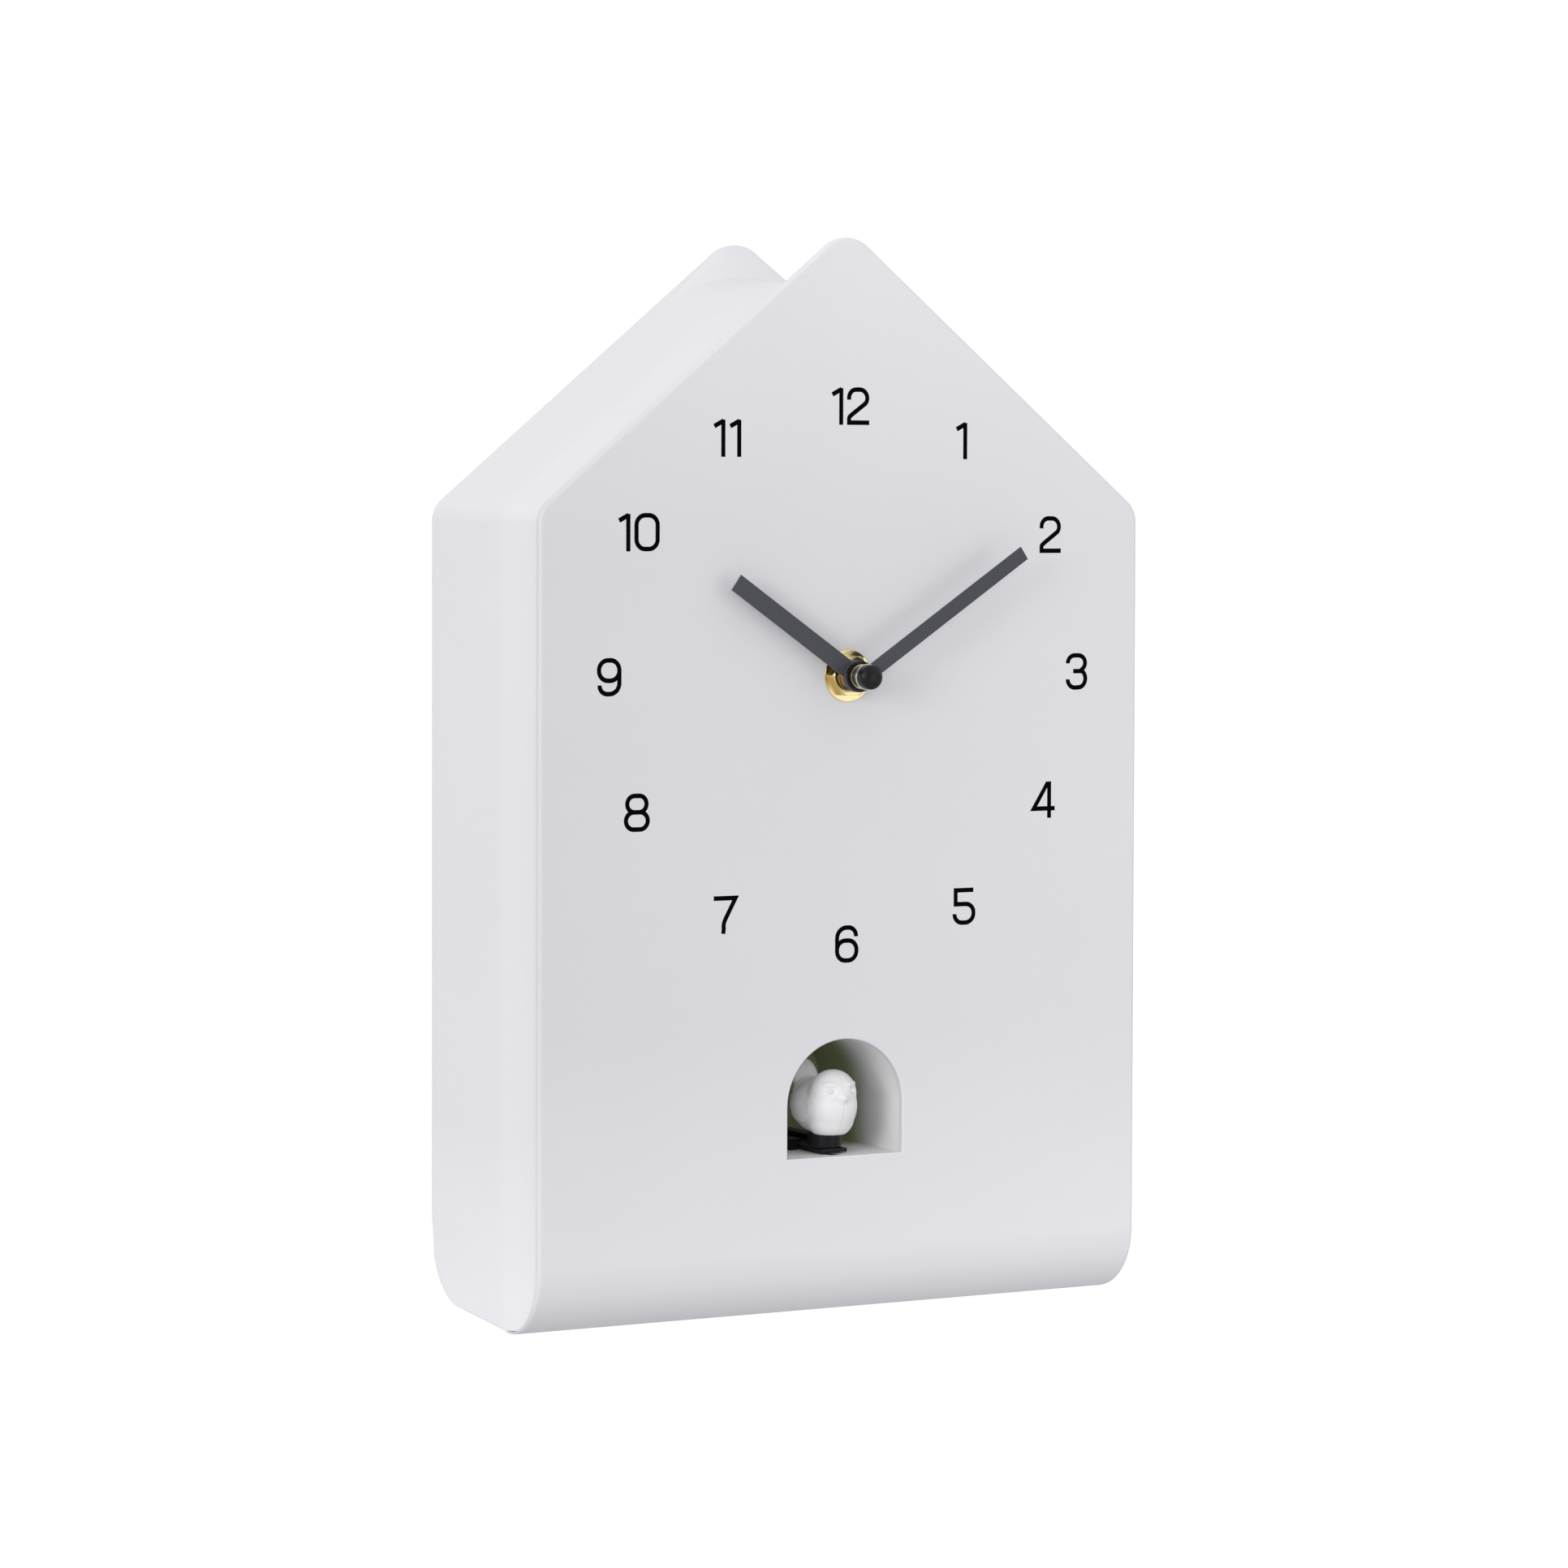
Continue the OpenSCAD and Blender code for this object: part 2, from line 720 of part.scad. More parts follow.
// Gear on an axis along X, between the two ends in span
module gear_x(span, y, n, m, phase) {
    translate([span[0], y, pinion_z]) rotate([90, 0, 90]) linear_extrude(span[1] - span[0]) gear(n, m, phase);
}

module drive_gear() {
    color("ivory") difference() {
        union() {
            gear_x([-2, wheel_x[0]], pinion_y, pinion_n, rack_m, 90);
            gear_x(wheel_x, pinion_y, wheel_n, wheel_m, 180 / wheel_n);
        }
        rod_x(pinion_y, pinion_z, -9, 9, 1.0 + eps);
    }
}

module drive_shaft() {
    color("silver") rod_x(pinion_y, pinion_z, -5, 9.4, 1);
}

module motor_pinion() {
    color("gold") {
        gear_x([wheel_x[0] + 0.2, wheel_x[1] + 0.3], motor_y, motor_n, wheel_m, 180);
        rod_x(motor_y, pinion_z, wheel_x[1], 14, 0.8);
    }
}

module motor_case() {
    color("silver") difference() {
        union() {
            rod_x(motor_y, pinion_z, frame_x[1][1], frame_x[1][1] + 19, 6);
            rod_x(motor_y, pinion_z, frame_x[1][0] + 0.2, frame_x[1][1] + eps, 2.2);
            rod_x(motor_y, pinion_z, frame_x[1][1] + 19 - eps, frame_x[1][1] + 21, 3.4);
        }
        rod_x(motor_y, pinion_z, 0, 14.4, 0.85);
    }
}

// Two side plates, a floor and two ears that screw to the niche liner
module gearbox_frame() {
    left = frame_x[0][0];
    right = frame_x[1][1];
    ear_z = liner_bottom_z - 1.4;
    color("lightgray") difference() {
        union() {
            for (x = frame_x) block([x[0], frame_y[0], frame_bottom_z], [x[1], frame_y[1], liner_bottom_z]);
            block([left, frame_y[0], frame_bottom_z - 1.4], [right, frame_y[1], frame_bottom_z + eps]);
            block([left - 6.5, frame_y[0], ear_z], [left + eps, pinion_y + 8, liner_bottom_z]);
            block([right - eps, frame_y[0], ear_z], [right + 6.5, pinion_y + 8, liner_bottom_z]);
        }
        rod_x(pinion_y, pinion_z, -9, 20, 1.05);
        rod_x(motor_y, pinion_z, frame_x[1][0] - 1, frame_x[1][1] + 1, 2.3);
        rod_x(motor_y, pinion_z, frame_x[1][1] - eps, 40, 6.1);
        for (p = frame_screw_xy) translate([p[0], p[1], liner_bottom_z - 5]) cylinder(h = 6, r = 1.2);
    }
}

module frame_screws() {
    color("silver") for (p = frame_screw_xy) translate([p[0], p[1], 0]) {
        translate([0, 0, liner_bottom_z - 2.6]) cylinder(h = 1.2, r = 2.2);
        translate([0, 0, liner_bottom_z - 2]) cylinder(h = 3.5, r = 0.95);
    }
}

// ---- Battery bay ----

cell_r = 7.1;
cell_len = 50.4;
nub_h = 1.2;
nub_r = 2.7;
cell_pitch = 15;
cell_y = -cover_t - 7.8;
tray_z = [bay_bottom_z + 0.3, hinge_z - 3];
tray_t = 1.4;
tray_floor_y = cell_y - cell_r - 0.4;
tray_in_z = [tray_z[0] + tray_t, tray_z[1] - tray_t];
plate_t = 0.3;
plate_half = 4.5;
contact_gap = 0.03;
tip_gap = plate_t + 2 * contact_gap;

module battery_tray() {
    half = bay_w / 2 - 0.3;
    lip = half + 2.6;
    color("dimgray") difference() {
        union() {
            block([-half, tray_floor_y - tray_t, tray_z[0]], [half, -cover_t + 0.3, tray_z[1]]);
            block([-lip, -cover_t - 1.2, tray_z[0] - 2.5], [lip, -cover_t, tray_z[1]]);
        }
        block([tray_t - half, tray_floor_y, tray_z[0] + tray_t], [half - tray_t, 1, tray_z[1] - tray_t]);
    }
}

// One cell with its positive tip at the origin and its body below
module cell() {
    translate([0, 0, -nub_h]) cylinder(h = nub_h, r = nub_r);
    translate([0, 0, -cell_len]) cylinder(h = cell_len - nub_h + eps, r = cell_r);
}

// Cells alternate: the middle one points up and its neighbours point down
module battery_cells() {
    color("goldenrod") for (i = [-1:1]) {
        tip_z = (i == 0) ? tray_in_z[1] - tip_gap : tray_in_z[0] + tip_gap;
        translate([i * cell_pitch, cell_y, tip_z]) rotate([(i == 0) ? 0 : 180, 0, 0]) cell();
    }
}

// One spring at each negative end, drawn as stacked turns
module battery_springs() {
    wire_lap = 0.02;
    turns = 5;
    spring_h = tray_in_z[1] - tray_in_z[0] - tip_gap - cell_len - 2 * contact_gap;
    pitch = (spring_h - 2 * wire_lap) / turns;
    color("silver") for (i = [-1:1]) {
        low_z = (i == 0) ? tray_in_z[0] + contact_gap : tray_in_z[1] - contact_gap - spring_h;
        for (k = [0:turns - 1]) translate([i * cell_pitch, cell_y, low_z + wire_lap + (k + 0.5) * pitch])
            rotate_extrude() translate([3.8, 0]) circle(pitch / 2 + wire_lap, $fn = 24);
    }
}

module contact_plates() {
    color("silver") for (i = [-1:1]) {
        x = i * cell_pitch;
        z = (i == 0) ? tray_in_z[1] - plate_t - contact_gap : tray_in_z[0] + contact_gap;
        block([x - plate_half, cell_y - plate_half, z], [x + plate_half, cell_y + plate_half, z + plate_t]);
    }
}

// Flap over the cells, hung on two pins at its top edge
module battery_door() {
    half = bay_w / 2 - 0.35;
    color("white") {
        difference() {
            block([-half, -1.8, bay_bottom_z + 0.35], [half, 0, hinge_z]);
            rod_x(0.6, bay_bottom_z + 3.5, -7, 7, 1.6);
        }
        rod_x(hinge_y, hinge_z, -half, half, 1.5);
        rod_x(hinge_y, hinge_z, -half - 2.4, half + 2.4, hinge_pin_r);
    }
}

// ---- Sound unit ----

board_t = 1.6;
board_y = -11;
board_back_y = board_y + board_t;
board_x = [30, 80];
board_z = [dial_z - 92, dial_z - 42];
board_screw_xz = [[34, dial_z - 88], [76, dial_z - 46]];

module circuit_board() {
    color("darkgreen") difference() {
        block([board_x[0], board_y, board_z[0]], [board_x[1], board_back_y, board_z[1]]);
        for (p = board_screw_xz) rod_y(p[0], p[1], board_y - 1, board_back_y + 1, 1.2);
    }
}

module board_components() {
    color("black") {
        block([44, board_y - 2, dial_z - 72], [56, board_y, dial_z - 62]);
        block([62, board_y - 1.4, dial_z - 84], [70, board_y, dial_z - 78]);
        for (p = [[38, -60], [66, -66], [72, -66]]) rod_y(p[0], dial_z + p[1], board_y - 9, board_y, 2.6);
    }
}

module board_screws() {
    color("silver") for (p = board_screw_xz) {
        rod_y(p[0], p[1], board_y - 1.2, board_y, 2);
        rod_y(p[0], p[1], board_y - eps, board_y + 5.5, 0.85);
    }
}

module switch_housings() {
    color("silver") {
        for (x = [volume_x, mode_x]) difference() {
            block([x - 7, board_back_y, slider_z - 3.4], [x + 7, board_back_y + 4.4, slider_z + 3.4]);
            block([x - 4.2, board_back_y + 2.6, slider_z - 1.6], [x + 4.2, 0, slider_z + 1.6]);
        }
        difference() {
            rod_y(button_x, button_z, board_back_y, board_back_y + 4, 4.4);
            rod_y(button_x, button_z, board_back_y + 1, 0, 3.4);
        }
    }
}

// Slider stem with a ribbed thumb piece that stays below the wall plane
module slider(x) {
    rib_y = -0.3;
    block([x - 1.2, board_back_y + 2.7, slider_z - 1.3], [x + 1.2, rib_y, slider_z + 1.3]);
    for (rib_x = [x - 0.8, x, x + 0.8])
        block([rib_x - 0.2, rib_y - eps, slider_z - 1.3], [rib_x + 0.2, 0, slider_z + 1.3]);
}

module volume_slider() {
    color("dimgray") slider(volume_x);
}

module mode_slider() {
    color("dimgray") slider(mode_x);
}

button_flange_y = board_back_y + 2.7;

module test_button() {
    color("dimgray") {
        rod_y(button_x, button_z, button_flange_y, -0.4, button_r);
        rod_y(button_x, button_z, button_flange_y, button_flange_y + 1, 3.1);
    }
}

module button_spring() {
    seat_y = board_back_y + 1.02;
    turns = 3;
    pitch = (button_flange_y - seat_y - 0.04) / turns;
    color("silver") for (k = [0:turns - 1]) translate([button_x, seat_y + (k + 0.5) * pitch, button_z])
        rotate([90, 0, 0]) rotate_extrude() translate([2, 0]) circle(pitch / 2 + 0.02, $fn = 24);
}

speaker_y = -cover_t - 0.3;

module speaker_basket() {
    color("dimgray") difference() {
        union() {
            rod_y(speaker_x, speaker_z, speaker_y - 1, speaker_y, speaker_r);
            rod_y(speaker_x, speaker_z, speaker_y - 6, speaker_y - 1 + eps, 11, 17.5);
        }
        rod_y(speaker_x, speaker_z, speaker_y - 5, speaker_y - 1, 10, 16.6);
        rod_y(speaker_x, speaker_z, speaker_y - 1 - eps, speaker_y + 1, 16.6);
    }
}

module speaker_magnet() {
    color("gray") rod_y(speaker_x, speaker_z, speaker_y - 11, speaker_y - 6, 9);
}

module speaker_cone() {
    color("black") difference() {
        union() {
            rod_y(speaker_x, speaker_z, speaker_y - 4.6, speaker_y - 0.8, 6, 15.6);
            rod_y(speaker_x, speaker_z, speaker_y - 0.8 - eps, speaker_y - 0.3, 16.5);
        }
        rod_y(speaker_x, speaker_z, speaker_y - 4, speaker_y - 0.2, 5.6, 15);
    }
}

module speaker_ring() {
    color("dimgray") difference() {
        rod_y(speaker_x, speaker_z, speaker_y - 1.6, -cover_t, speaker_r + 2.2);
        rod_y(speaker_x, speaker_z, speaker_y - 1.02, 0, speaker_r + 0.02);
        rod_y(speaker_x, speaker_z, speaker_y - 3, 0, speaker_r - 1.4);
    }
}

front_panel();
body_shell();
back_cover();
cover_screws();
wall_pads();
niche_liner();
slide_guides();
movement_front();
movement_back();
threaded_bushing();
rubber_washer();
brass_washer();
hex_nut();
stepper_coil();
stator_plate();
movement_board();
quartz_crystal();
hour_wheel();
hour_hand();
minute_arbor();
minute_hand();
cap_ring();
hand_cap();
motion_wheel();
set_shaft();
set_knob();
bird_left_half();
bird_right_half();
bird_post();
slide_rack();
gearbox_frame();
frame_screws();
drive_gear();
drive_shaft();
motor_case();
motor_pinion();
battery_tray();
battery_cells();
battery_springs();
contact_plates();
battery_door();
circuit_board();
board_components();
board_screws();
switch_housings();
volume_slider();
mode_slider();
test_button();
button_spring();
speaker_basket();
speaker_magnet();
speaker_cone();
speaker_ring();
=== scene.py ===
"""Looks of a house-shaped wall cuckoo clock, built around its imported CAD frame.

Metres, +Z up, with the dial towards -Y and the wall at Y 0.
"""
import json
import math

import bmesh
import bpy
from mathutils import Matrix, Vector
from mathutils.geometry import tessellate_polygon


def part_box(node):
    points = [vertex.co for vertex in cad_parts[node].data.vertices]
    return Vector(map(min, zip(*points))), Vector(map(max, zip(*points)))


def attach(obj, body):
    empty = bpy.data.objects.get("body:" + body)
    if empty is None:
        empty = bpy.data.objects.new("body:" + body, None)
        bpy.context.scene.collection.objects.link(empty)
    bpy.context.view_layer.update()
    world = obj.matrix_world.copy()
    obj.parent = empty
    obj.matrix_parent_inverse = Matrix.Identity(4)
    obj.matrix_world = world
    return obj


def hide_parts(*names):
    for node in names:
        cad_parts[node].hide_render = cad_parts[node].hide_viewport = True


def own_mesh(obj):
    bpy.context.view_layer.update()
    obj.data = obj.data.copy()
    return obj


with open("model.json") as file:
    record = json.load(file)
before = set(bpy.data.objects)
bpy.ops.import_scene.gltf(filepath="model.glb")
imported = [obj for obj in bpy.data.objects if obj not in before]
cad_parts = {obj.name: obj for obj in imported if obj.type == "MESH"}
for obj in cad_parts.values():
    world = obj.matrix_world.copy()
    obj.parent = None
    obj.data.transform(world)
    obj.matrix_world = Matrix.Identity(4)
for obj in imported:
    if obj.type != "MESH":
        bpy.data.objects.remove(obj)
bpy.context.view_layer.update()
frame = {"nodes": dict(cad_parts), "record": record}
nodes = frame["nodes"]
scene = bpy.context.scene
MM = 0.001

# ---- Places from the frame ----

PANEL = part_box("front_panel")
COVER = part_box("back_cover")
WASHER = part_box("brass_washer")
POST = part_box("bird_post")

HALF_W = PANEL[1].x
FACE_Y = PANEL[0].y
BASE_Z = PANEL[0].z
DIAL_Z = (WASHER[0].z + WASHER[1].z) / 2

# ---- Sizes that the outlines share with the CAD model ----

ROOF_PITCH = math.radians(39.5)
RIDGE_R = 10.5 * MM
EAVE_R = 8 * MM
BEND_R = 20 * MM
HEEL_R = 17 * MM
BASE_TILT = math.radians(4.5)
SHOULDER_IN = 2.5 * MM
SHOULDER_D = 24 * MM
PANEL_T = 2.2 * MM
PANEL_TIP_T = 0.6 * MM
PANEL_GAP = 0.4 * MM
SADDLE_FRONT_R = 66 * MM
SADDLE_BACK_R = 42 * MM
REAR_PLATE_T = 3 * MM
COVE_D = 7 * MM
RIM_R = 0.8 * MM
CORNER_R = 0.6 * MM
HIDDEN_CORNER_R = 0.1 * MM
WALL_T = 2.6 * MM
LIP_Y = -20 * MM
FRONT_WALL_T = 2 * MM
NICHE_R = 18.7 * MM
SILL_Z = DIAL_Z - 136.6 * MM
SPRING_Z = SILL_Z + 33.3 * MM - NICHE_R
LINER_T = 2.5 * MM
BUSH_HOLE_R = 4.3 * MM
PANEL_END_Y = FACE_Y + BEND_R * (1 + math.sin(BASE_TILT))
COVER_EDGE_Z = COVER[0].z - 0.3 * MM
SHELL_FRONT_Y = FACE_Y + PANEL_T + PANEL_GAP
CAVITY_Y = SHELL_FRONT_Y + FRONT_WALL_T
ARC_N = 18
TINY = 1e-9

TURN = math.pi / 2 - ROOF_PITCH
SHARP_Z = PANEL[1].z - RIDGE_R + RIDGE_R / math.cos(ROOF_PITCH)
EAVE_Z = SHARP_Z - HALF_W * math.tan(ROOF_PITCH)
EAVE_C = (HALF_W - EAVE_R, EAVE_Z - EAVE_R * math.tan(TURN / 2))
BEND_C = (FACE_Y + BEND_R, BASE_Z + BEND_R)
HEEL_RUN = -FACE_Y - BEND_R - HEEL_R
HEEL_C = (-HEEL_R, BEND_C[1] + (HEEL_RUN * math.sin(BASE_TILT) - BEND_R + HEEL_R) / math.cos(BASE_TILT))


# ---- Mesh helpers ----

def arc(centre, r, a0, a1, n=ARC_N):
    """Points on an arc, angles in radians."""
    steps = [a0 + (a1 - a0) * i / n for i in range(n + 1)]
    return [(centre[0] + r * math.cos(a), centre[1] + r * math.sin(a)) for a in steps]


def finish_mesh(name, bm, sharp=35):
    """Turns a bmesh into a smooth-shaded object whose flat faces stay flat."""
    bmesh.ops.remove_doubles(bm, verts=bm.verts, dist=1e-7)
    bmesh.ops.recalc_face_normals(bm, faces=bm.faces)
    limit = math.radians(sharp)
    for f in bm.faces:
        f.smooth = True
    for e in bm.edges:
        e.smooth = len(e.link_faces) == 2 and e.calc_face_angle(0) < limit
    mesh = bpy.data.meshes.new(name)
    bm.to_mesh(mesh)
    bm.free()
    obj = bpy.data.objects.new(name, mesh)
    scene.collection.objects.link(obj)
    even = obj.modifiers.new("even_normals", "WEIGHTED_NORMAL")
    even.keep_sharp = True
    return obj


def loft(bm, loops, closed=True):
    """Quads between successive loops with the same number of points. Returns the vertex rings."""
    rings = [[bm.verts.new(p) for p in loop] for loop in loops]
    for a, b in zip(rings, rings[1:]):
        count = len(a) if closed else len(a) - 1
        for i in range(count):
            j = (i + 1) % len(a)
            quad = (a[i], a[j], b[j], b[i])
            if len({v.co.to_tuple(8) for v in quad}) > 2:
                bm.faces.new(quad)
    return rings


def fill(bm, outer, holes=()):
    """Flat face with holes, between vertex rings."""
    rings = [outer, *holes]
    flat = [v for ring in rings for v in ring]
    for tri in tessellate_polygon([[v.co for v in ring] for ring in rings]):
        bm.faces.new([flat[i] for i in tri])


def spin_point(r, y, angle):
    """Point at radius r and angle about the hands' axis."""
    return Vector((r * math.cos(angle), y, DIAL_Z + r * math.sin(angle)))


def lathe(name, profile):
    """Solid of revolution about the hands' axis, from (radius, y) points closed on the axis or on itself."""
    steps = 72
    bm = bmesh.new()
    ring_of = []
    for r, y in profile:
        count = steps if r > TINY else 1
        ring_of.append([bm.verts.new(spin_point(r, y, math.tau * k / steps)) for k in range(count)])
    for a, b in zip(ring_of, ring_of[1:] + ring_of[:1]):
        if len(a) == 1 and len(b) == 1:
            continue
        for k in range(steps):
            j = (k + 1) % steps
            corners = [a[k % len(a)], a[j % len(a)], b[j % len(b)], b[k % len(b)]]
            bm.faces.new(list(dict.fromkeys(corners)))
    return finish_mesh(name, bm)


# ---- Materials ----

def new_material(name):
    """A material with its node tree and its shader."""
    mat = bpy.data.materials.new(name)
    mat.use_nodes = True
    tree = mat.node_tree
    return mat, tree, tree.nodes["Principled BSDF"]


def link(tree, out, into):
    """Joins an output to an input."""
    tree.links.new(out, into)


def place(tree):
    """Object-space place in metres, shared because every piece has its origin at the frame's."""
    return tree.nodes.new("ShaderNodeTexCoord").outputs["Object"]


def mapped(tree, setting, value):
    """The place after one change: Location, Rotation or Scale."""
    node = tree.nodes.new("ShaderNodeMapping")
    node.inputs[setting].default_value = value
    link(tree, place(tree), node.inputs["Vector"])
    return node.outputs["Vector"]


def axes(tree, vector):
    """A vector's X, Y and Z by name."""
    node = tree.nodes.new("ShaderNodeSeparateXYZ")
    link(tree, vector, node.inputs["Vector"])
    return node.outputs


def noise(tree, scale, detail=3.0, rough=0.55, stretch=None):
    """Noise at so many cells per metre; stretch scales the place first."""
    node = tree.nodes.new("ShaderNodeTexNoise")
    node.inputs["Scale"].default_value = scale
    node.inputs["Detail"].default_value = detail
    node.inputs["Roughness"].default_value = rough
    where = mapped(tree, "Scale", stretch) if stretch else place(tree)
    link(tree, where, node.inputs["Vector"])
    return node.outputs["Fac"]


def ramp(tree, fac, stops):
    """Colour ramp from (place, colour) stops."""
    node = tree.nodes.new("ShaderNodeValToRGB")
    points = node.color_ramp.elements
    while len(points) < len(stops):
        points.new(0.5)
    for point, (at, colour) in zip(points, stops):
        point.position = at
        point.color = (*colour, 1)
    link(tree, fac, node.inputs["Fac"])
    return node.outputs["Color"]


def scaled(colour, k):
    """A colour k times as bright, up to white."""
    return tuple(min(1, c * k) for c in colour)


def vary(tree, fac, low, high):
    """Maps a 0 to 1 value to a range."""
    node = tree.nodes.new("ShaderNodeMapRange")
    node.inputs["To Min"].default_value = low
    node.inputs["To Max"].default_value = high
    link(tree, fac, node.inputs["Value"])
    return node.outputs["Result"]


def eased(tree, value, low, high):
    """0 to 1 as a value goes smoothly from low to high."""
    node = tree.nodes.new("ShaderNodeMapRange")
    node.interpolation_type = "SMOOTHSTEP"
    node.inputs["From Min"].default_value = low
    node.inputs["From Max"].default_value = high
    link(tree, value, node.inputs["Value"])
    return node.outputs["Result"]


def bump(tree, shader, height, depth, under=None):
    """Adds surface relief of a real depth in metres."""
    node = tree.nodes.new("ShaderNodeBump")
    node.inputs["Distance"].default_value = depth
    link(tree, height, node.inputs["Height"])
    if under:
        link(tree, under, node.inputs["Normal"])
    link(tree, node.outputs["Normal"], shader.inputs["Normal"])
    return node.outputs["Normal"]


def tone_along(tree, colour, steps):
    """Multiplies a colour by slow changes of tone that paint light and shade: (axis, from, to, tone at from,
    tone at to).
    """
    where = axes(tree, place(tree))
    for axis, start, end, first, last in steps:
        tone = tree.nodes.new("ShaderNodeMapRange")
        tone.inputs["From Min"].default_value = start
        tone.inputs["From Max"].default_value = end
        tone.inputs["To Min"].default_value = first
        tone.inputs["To Max"].default_value = last
        link(tree, where[axis], tone.inputs["Value"])
        scale = tree.nodes.new("ShaderNodeVectorMath")
        scale.operation = "SCALE"
        link(tree, colour, scale.inputs[0])
        link(tree, tone.outputs["Result"], scale.inputs["Scale"])
        colour = scale.outputs["Vector"]
    return colour


def moulded(name, colour, rough=0.42, tint=0.02, grain=2600, depth=0.012 * MM, shine=0.5, steps=()):
    """Moulded or sprayed plastic: fine grain, faint flow marks and slight tone changes; the steps multiply
    in painted light and shade along the axes.
    """
    mat, tree, shader = new_material(name)
    spread = 0.06
    cloud = noise(tree, 14, 4)
    base = ramp(tree, cloud, [(0.3, scaled(colour, 1 - tint)), (0.7, scaled(colour, 1 + tint))])
    if steps:
        base = tone_along(tree, base, steps)
    link(tree, base, shader.inputs["Base Color"])
    link(tree, vary(tree, noise(tree, 60, 5), rough - spread, rough + spread), shader.inputs["Roughness"])
    fine = bump(tree, shader, noise(tree, grain, 2), depth)
    bump(tree, shader, noise(tree, 90, 2), depth * 2, fine)
    shader.inputs["IOR"].default_value = 1.49
    shader.inputs["Specular IOR Level"].default_value = shine
    return mat


def metal(name, colour, rough=0.22, stretch=(1, 1, 1), scale=900):
    """Bare metal with tool marks along one direction and a little tarnish."""
    mat, tree, shader = new_material(name)
    spread = 0.08
    tint = 0.08
    cloud = noise(tree, 120, 5)
    base = ramp(tree, cloud, [(0.3, scaled(colour, 1 - tint)), (0.7, scaled(colour, 1 + tint * 0.5))])
    link(tree, base, shader.inputs["Base Color"])
    marks = noise(tree, scale, 4, 0.7, stretch)
    link(tree, vary(tree, marks, rough - spread, rough + spread), shader.inputs["Roughness"])
    bump(tree, shader, marks, 0.004 * MM)
    shader.inputs["Metallic"].default_value = 1.0
    return mat


def turned(name, colour, rough):
    """Turned metal: fine rings around the hands' axis."""
    mat, tree, shader = new_material(name)
    node = tree.nodes.new("ShaderNodeTexWave")
    node.wave_type = "RINGS"
    node.rings_direction = "Y"
    node.inputs["Scale"].default_value = 2400
    node.inputs["Distortion"].default_value = 0.6
    link(tree, mapped(tree, "Location", (0, 0, -DIAL_Z)), node.inputs["Vector"])
    base = ramp(tree, noise(tree, 260, 5), [(0.3, scaled(colour, 0.86)), (0.7, colour)])
    link(tree, base, shader.inputs["Base Color"])
    link(tree, vary(tree, noise(tree, 700, 4), rough - 0.06, rough + 0.08), shader.inputs["Roughness"])
    bump(tree, shader, node.outputs["Fac"], 0.004 * MM)
    shader.inputs["Metallic"].default_value = 1.0
    return mat


def niche_paint(name, front, deep_shade, start_y, end_y):
    """Satin walls that run from white at the mouth to a dark olive behind: painted shade of the recess, with
    an olive tint.
    """
    mat, tree, shader = new_material(name)
    along = eased(tree, axes(tree, place(tree))["Y"], start_y, end_y)
    base = ramp(tree, along, [(0.0, front), (1.0, deep_shade)])
    tone = ramp(tree, noise(tree, 40, 4), [(0.3, (0.94, 0.94, 0.94)), (0.7, (1, 1, 1))])
    mix = tree.nodes.new("ShaderNodeMix")
    mix.data_type = "RGBA"
    mix.blend_type = "MULTIPLY"
    mix.inputs["Factor"].default_value = 1.0
    link(tree, base, mix.inputs["A"])
    link(tree, tone, mix.inputs["B"])
    link(tree, mix.outputs["Result"], shader.inputs["Base Color"])
    link(tree, vary(tree, noise(tree, 80, 4), 0.42, 0.55), shader.inputs["Roughness"])
    bump(tree, shader, noise(tree, 2200, 2), 0.012 * MM)
    return mat


def windings(name, colour, turns_per_m):
    """Enamelled wire laid side by side along X, with painted shade in the grooves between the turns."""
    mat, tree, shader = new_material(name)
    node = tree.nodes.new("ShaderNodeTexWave")
    node.bands_direction = "X"
    node.inputs["Scale"].default_value = turns_per_m
    link(tree, place(tree), node.inputs["Vector"])
    # Painted shade: the colour falls to 0.35 of itself in the grooves between the turns.
    base = ramp(tree, node.outputs["Fac"], [(0.0, scaled(colour, 0.35)), (0.6, colour)])
    link(tree, base, shader.inputs["Base Color"])
    link(tree, vary(tree, noise(tree, 900, 3), 0.2, 0.34), shader.inputs["Roughness"])
    bump(tree, shader, node.outputs["Fac"], 0.05 * MM)
    shader.inputs["Metallic"].default_value = 1.0
    return mat


def circuit(name, mask, track):
    """Solder mask over a faint pattern of tracks."""
    mat, tree, shader = new_material(name)
    cells = tree.nodes.new("ShaderNodeTexBrick")
    cells.inputs["Scale"].default_value = 260
    cells.inputs["Mortar Size"].default_value = 0.03
    cells.inputs["Color1"].default_value = (*mask, 1)
    cells.inputs["Color2"].default_value = (*scaled(mask, 0.8), 1)
    cells.inputs["Mortar"].default_value = (*track, 1)
    link(tree, mapped(tree, "Rotation", (math.pi / 2, 0, 0)), cells.inputs["Vector"])
    link(tree, cells.outputs["Color"], shader.inputs["Base Color"])
    link(tree, vary(tree, noise(tree, 500, 3), 0.24, 0.4), shader.inputs["Roughness"])
    bump(tree, shader, cells.outputs["Fac"], 0.03 * MM)
    return mat
